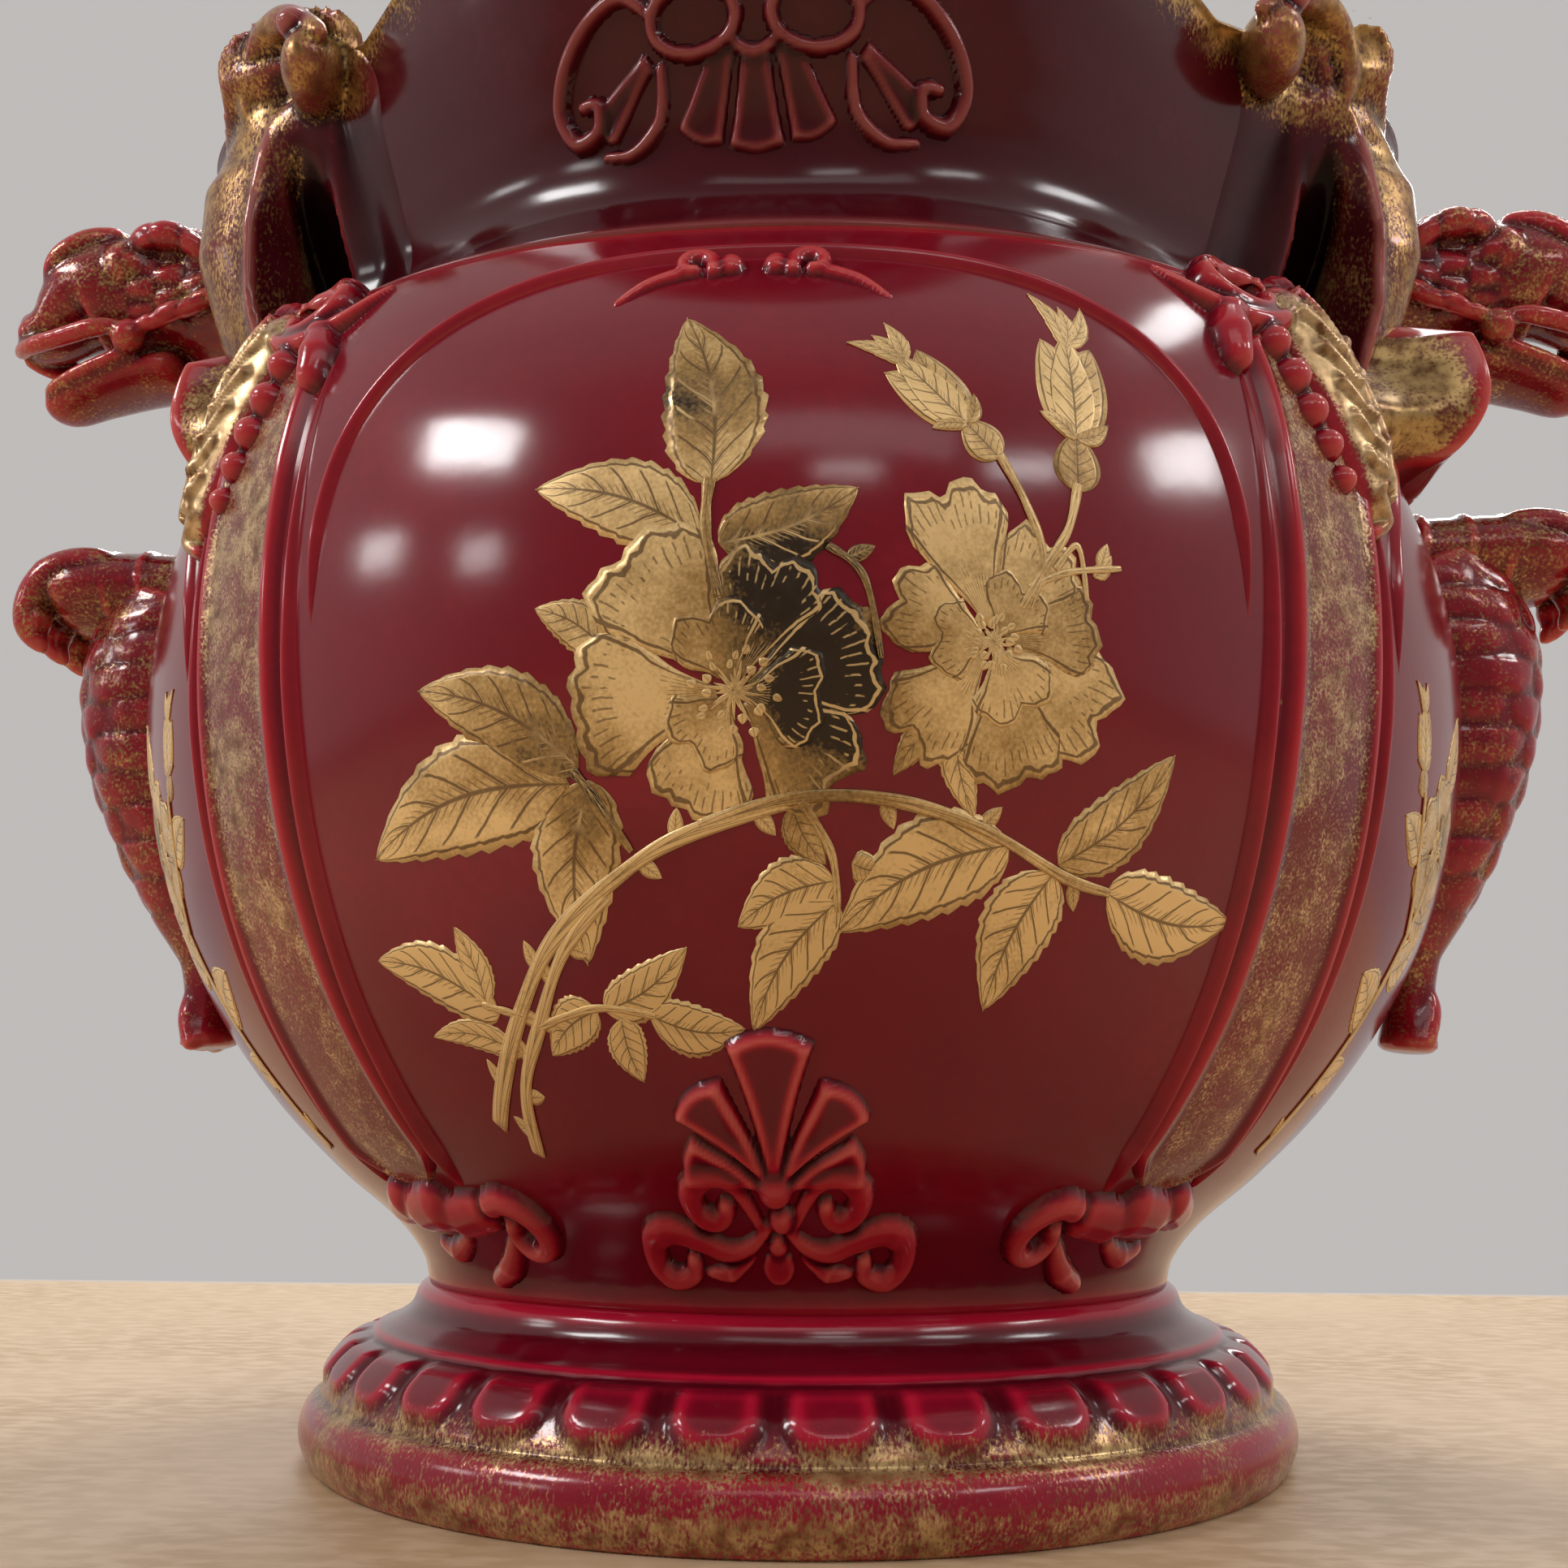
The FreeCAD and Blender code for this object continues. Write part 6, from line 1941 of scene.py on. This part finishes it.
        self.patch(outline, 4, 60, 0.0, tone, Layer.STEM.value + len(self.parts) % 2)
        for index in range(thorns):
            where = int(60 * (index + 0.7) / (thorns + 0.4))
            spot, way = line[where], ahead[where]
            sign = 1 if index % 2 else -1
            tilt = np.degrees(np.arctan2(way[0], way[1])) + sign * 62
            self.leaf(spot[0], spot[1], tilt, 3.6, 0.9, tone, 0.0, 1)

    def bud(self, across: float, height: float, tilt: float, length: float) -> None:
        """Lays a half-open bud: a round hip, the closed petals and the sepals beyond them.

        Args:
            across: Place of its stalk end across the panel.
            height: Height of its stalk end.
            tilt: Its direction in degrees from straight up, clockwise.
            length: Its length.
        """
        lean = radians(tilt)
        ahead = (sin(lean), cos(lean))
        hip = length * 0.3
        self.leaf(across, height, tilt, hip * 1.15, length * 0.13, 0.55, 0.0, 1, 3)
        start = (across + ahead[0] * hip, height + ahead[1] * hip)
        for turn, share, wide, tone, level in ((-14, 0.62, 0.17, 0.85, 4), (14, 0.62, 0.17, 0.7, 5),
                                               (0, 0.66, 0.15, 0.9, 6)):
            self.leaf(*start, tilt + turn, length * share, length * wide, tone, -0.004 * turn, 1, level)
        end = (across + ahead[0] * length * 0.88, height + ahead[1] * length * 0.88)
        for turn, share in ((-24, 0.4), (26, 0.36), (2, 0.3)):
            self.leaf(*end, tilt + turn, length * share, length * 0.055, 0.8, 0.1, 4, 7)
        for turn in (-60, 58):
            self.leaf(*start, tilt + turn, length * 0.24, length * 0.05, 0.6, 0.1, 1, 7)

    def build(self, finisher: Finisher) -> Piece:
        """Joins the touches of gold into one piece.

        Args:
            finisher: Settles the piece.

        Returns:
            The spray.
        """
        spray = Bench.join(self.name, self.parts)
        Bench.modify(spray, "SOLIDIFY", thickness=0.2, offset=-1.0)
        return finisher.settle(spray, finisher.gilding, [])


def lay_large_spray(finisher: Finisher, name: str, azimuth: float) -> None:
    """Lays the large spray with two blooms, buds and thorny stems.

    Args:
        finisher: Glazes and settles the piece.
        name: The piece's name.
        azimuth: The middle of its panel.
    """
    # The spots paint the gold darker where it mirrors dark surroundings, a painted reflection.
    spray = Spray(name, azimuth, 1, ((3.0, 112.0, 10.0, 0.75), (8.0, 98.0, 8.0, 0.7), (-8.5, 139.0, 8.0, 0.65),
                                     (-30.0, 99.0, 9.0, 0.45), (-22.0, 88.0, 6.0, 0.5), (14.0, 108.0, 5.0, 0.3),
                                     (-45.0, 94.0, 7.0, 0.2)))
    spray.stem(((-51.0, 52.5), (-38.3, 66.2), (-30.1, 74.6), (-19.2, 81.7), (-10.3, 86.0), (4.4, 90.0)), 1.2, 0.9, 8)
    spray.stem(((-45.5, 48.8), (-41.8, 57.3), (-35.1, 65.2), (-28.5, 73.5), (-21.0, 79.5)), 1.1, 0.95, 7)
    spray.stem(((-8.0, 87.0), (4.4, 90.2), (15.7, 90.1), (27.4, 87.4), (39.8, 82.5), (47.6, 81.0)), 0.85, 0.7, 4)
    spray.stem(((28.5, 132.0), (31.7, 126.0), (33.9, 119.5), (32.1, 113.0)), 0.55, 0.7)
    spray.stem(((39.0, 129.6), (37.4, 123.6), (34.2, 118.5), (31.0, 113.0)), 0.6, 0.8)
    spray.stem(((32.0, 115.5), (37.0, 118.0), (44.9, 119.6)), 0.5, 0.8, 3)
    spray.stem(((35.5, 118.2), (38.6, 121.5), (39.9, 114.9)), 0.4, 0.8)
    spray.stem(((7.5, 119.0), (11.7, 115.4), (13.9, 106.0)), 0.45, 0.7, 2)
    spray.stem(((-6.3, 127.5), (-6.6, 121.0), (-5.0, 113.0)), 0.7, 0.6)
    spray.stem(((-36.0, 64.6), (-25.3, 66.8), (-16.4, 65.8)), 0.5, 0.9)
    spray.stem(((-37.5, 66.0), (-44.5, 67.6)), 0.5, 0.9)
    spray.stem(((4.6, 89.8), (8.4, 84.0), (9.4, 77.6)), 0.55, 0.7)
    spray.stem(((-24.0, 94.0), (-21.5, 91.0), (-17.0, 84.5)), 0.6, 0.6)
    for across, height, tilt, length, width, tone in (
            (-6.1, 126.7, -10, 24.9, 6.0, 0.8), (-7.3, 120.2, -69, 22.2, 5.0, 0.75),
            (-5.1, 119.3, 67, 17.5, 4.6, 0.6), (-18.8, 107.5, -58, 10.7, 2.8, 0.7),
            (-23.1, 94.2, -64, 25.4, 5.2, 0.75), (-24.5, 92.4, -101, 33.9, 6.6, 0.9),
            (-21.7, 92.7, -170, 21.0, 5.8, 0.85), (-42.0, 66.3, -71, 22.3, 3.8, 1.0),
            (-43.8, 67.3, -12, 9.8, 2.6, 0.9), (-40.0, 61.5, -82, 17.0, 1.8, 0.9),
            (-25.3, 66.5, -119, 10.7, 2.9, 0.9), (-24.0, 66.5, 62, 14.9, 2.9, 0.9),
            (-21.7, 65.5, 169, 7.6, 2.9, 0.95), (-17.3, 65.9, 97, 13.9, 3.0, 0.95),
            (3.4, 89.4, 147, 7.8, 2.2, 0.6), (9.0, 81.0, -112, 13.6, 3.6, 0.9),
            (9.3, 78.7, -142, 18.6, 4.2, 0.85), (11.0, 83.0, 100, 4.0, 1.8, 0.7),
            (31.5, 85.7, -115, 24.2, 5.6, 0.8), (38.4, 82.8, -156, 17.4, 5.2, 0.85),
            (47.1, 81.0, 95, 24.3, 4.9, 1.0), (38.9, 83.8, 49, 21.4, 4.3, 0.65), (41.0, 118.0, 40, 4.0, 1.0, 0.8),
            (37.5, 117.0, 160, 5.0, 1.3, 0.8), (23.3, 100.0, 165, 12.0, 2.2, 0.7),
            (22.8, 100.0, -135, 10.0, 2.0, 0.7)):
        spray.leaf(across, height, tilt, length, width, tone)
    spray.bud(28.5, 131.5, -43, 19.0)
    spray.bud(39.0, 128.6, 3, 24.0)
    spray.bloom((27.5, 108.7), ((118, 18.9, 31, 0.75), (164, 17.6, 31, 0.6), (-140, 16.6, 30, 0.75),
                                (76, 15.0, 30, 0.5), (31, 15.8, 29, 0.7), (-70, 14.0, 32, 0.8),
                                (-19, 20.2, 25, 0.75)),
                ((150, 10.0, 48, 0.8), (30, 9.0, 46, 0.6), (-90, 8.2, 50, 0.7)), 2.6)
    spray.bloom((-3.3, 102.1), ((-155, 15.6, 34, 0.75), (130, 17.4, 33, 0.7), (71, 18.4, 32, 0.6),
                                (18, 17.4, 31, 0.65), (-93, 21.2, 31, 0.8), (-37, 22.6, 29, 0.8)),
                ((95, 11.4, 42, 0.6), (-140, 9.6, 48, 0.7), (-20, 11.0, 44, 0.65)), 4.4)
    spray.build(finisher)


def lay_small_spray(finisher: Finisher, name: str, azimuth: float, flip: int) -> None:
    """Lays the small spray with one bloom beside a handle.

    Args:
        finisher: Glazes and settles the piece.
        name: The piece's name.
        azimuth: Its middle.
        flip: -1 to mirror it.
    """
    # The spot paints the gold darker where it mirrors dark surroundings, a painted reflection.
    spray = Spray(name, azimuth, flip, ((4.0, 96.0, 6.0, 0.4),))
    spray.stem(((-12.0, 49.0), (-9.0, 58.0), (-4.0, 74.0), (0.0, 88.0), (2.0, 100.0)), 0.9, 0.85, 6)
    spray.stem(((-2.0, 82.0), (-8.0, 92.0), (-11.0, 102.0)), 0.6, 0.8)
    for across, height, tilt, length, width, tone in (
            (-2.0, 76.0, 62, 14.0, 4.0, 0.8), (-5.0, 68.0, -58, 13.0, 3.8, 0.9), (2.0, 104.0, 24, 14.0, 3.8, 0.8),
            (-1.0, 84.0, 80, 13.0, 3.6, 0.75), (-8.0, 92.0, -60, 11.0, 3.2, 0.8), (-8.0, 60.0, 74, 9.0, 2.8, 0.85)):
        spray.leaf(across, height, tilt, length, width, tone)
    spray.bud(-11.5, 101.0, -14, 14.0)
    spray.bloom((1.0, 95.0), ((0, 11.6, 38, 0.8), (72, 11.0, 38, 0.7), (144, 11.4, 38, 0.8), (216, 11.2, 38, 0.6),
                              (288, 11.0, 38, 0.75)), ((40, 6.0, 50, 0.6), (200, 5.6, 50, 0.7)), 2.2)
    spray.build(finisher)


# The studio

@dataclass
class Studio:
    """Camera, lamps, world and table top."""

    lens: float = 37.267
    place: Row = (0.0111017, -0.2957117, 0.0531300)
    rows: tuple[Row, ...] = ((0.998933, 0.003989, 0.046020), (0.045866, -0.203896, -0.977918),
                             (0.005482, 0.978985, -0.203861))
    distance: float = 1.3
    lamps: tuple[tuple[Row, float, float, float], ...] = (
        ((-0.751, -0.375, 0.544), 0.36, 0.17, 26.0), ((-0.929, -0.22, 0.298), 0.17, 0.1, 11.0),
        ((-0.806, -0.533, 0.257), 0.17, 0.1, 10.0), ((0.195, -0.864, 0.464), 0.24, 0.08, 7.0),
        ((0.854, -0.193, 0.482), 0.26, 0.14, 17.0), ((0.626, 0.056, 0.778), 0.26, 0.12, 11.0),
        ((0.638, -0.606, 0.476), 0.26, 0.08, 12.0), ((0.1, 0.35, 0.93), 0.7, 0.4, 8.0),
        ((-0.3, 0.75, 0.59), 0.4, 0.2, 14.0), ((0.45, 0.7, 0.55), 0.4, 0.2, 12.0),
        ((0.1, -0.8, 0.6), 1.1, 0.2, 1.6))

    def build(self) -> None:
        """Sets up the studio."""
        camera = bpy.data.objects.new("camera", bpy.data.cameras.new("camera"))
        bpy.context.scene.collection.objects.link(camera)
        camera.data.sensor_width = 36.0
        camera.data.lens = self.lens
        camera.data.clip_start = 0.01
        camera.matrix_world = Matrix([(*row, spot) for row, spot in zip(self.rows, self.place)] + [(0, 0, 0, 1)])
        bpy.context.scene.camera = camera
        middle = Vector((0, 0, 0.13))
        for index, (way, wide, high, radiance) in enumerate(self.lamps):
            lamp = bpy.data.lights.new(f"softbox_{index}", "AREA")
            lamp.shape = "RECTANGLE"
            lamp.size, lamp.size_y, lamp.energy = wide, high, radiance * wide * high * pi
            holder = bpy.data.objects.new(f"softbox_{index}", lamp)
            bpy.context.scene.collection.objects.link(holder)
            aim = (-Vector(way)).to_track_quat("-Z", "Y")
            holder.matrix_world = Matrix.Translation(middle + Vector(way) * self.distance) @ aim.to_matrix().to_4x4()
        world = bpy.data.worlds.new("studio")
        world.use_nodes = True
        nodes, links = world.node_tree.nodes, world.node_tree.links
        way, split, dim, ray, shown = (nodes.new("ShaderNode" + kind) for kind in (
            "TexCoord", "SeparateXYZ", "MapRange", "LightPath", "Mix"))
        shown.inputs[3].default_value = 1.0
        dim.interpolation_type = "SMOOTHSTEP"
        for name, number in (("From Min", -0.95), ("From Max", -0.1), ("To Min", 0.45), ("To Max", 1.15)):
            dim.inputs[name].default_value = number
        links.new(way.outputs["Generated"], split.inputs[0])
        links.new(split.outputs["Y"], dim.inputs["Value"])
        nodes["Background"].inputs["Color"].default_value = (*PaleTop.beyond, 1)
        links.new(ray.outputs["Is Camera Ray"], shown.inputs[0])
        links.new(dim.outputs["Result"], shown.inputs[2])
        links.new(shown.outputs[0], nodes["Background"].inputs["Strength"])
        bpy.context.scene.world = world
        bpy.context.scene.view_settings.view_transform = "Standard"
        Bench.clear()
        bpy.ops.mesh.primitive_circle_add(vertices=96, radius=3.0, fill_type="NGON")
        top = bpy.context.object
        top.name = "table_top"
        top.data.materials.append(PaleTop().make())


def main() -> None:
    """Builds every piece in order."""
    logging.basicConfig(level=logging.INFO, format="%(message)s")
    Studio().build()
    finisher = Finisher()
    for work in (Foot, Bowl, Collar, Frames, Ornaments):
        work(finisher).build()
    CornerFold(finisher, Side.RIGHT, lip=60.0, lift=5.5, arris=62.5, bulge=70.0, end=79.0, arris_radius=110.5,
               bulge_radius=114.0).build()
    CornerFold(finisher, Side.LEFT, lip=53.5, lift=3.2, arris=56.5, bulge=66.0, end=77.0, arris_radius=107.5,
               bulge_radius=112.0).build()
    Dragon(finisher, Side.RIGHT, head_height=211.0, claw_height=155.5, wing_edge=122.0).build()
    Dragon(finisher, Side.LEFT, head_height=213.5, claw_height=151.0, wing_edge=113.5).build()
    lay_large_spray(finisher, "gilt_spray_front", 0.0)
    lay_large_spray(finisher, "gilt_spray_back", 180.0)
    for word, azimuth, flip in (("right_front", 66.0, 1), ("right_back", 114.0, -1), ("left_front", -66.0, -1),
                                ("left_back", -114.0, 1)):
        lay_small_spray(finisher, "gilt_spray_" + word, azimuth, flip)


if __name__ == "__main__":
    main()
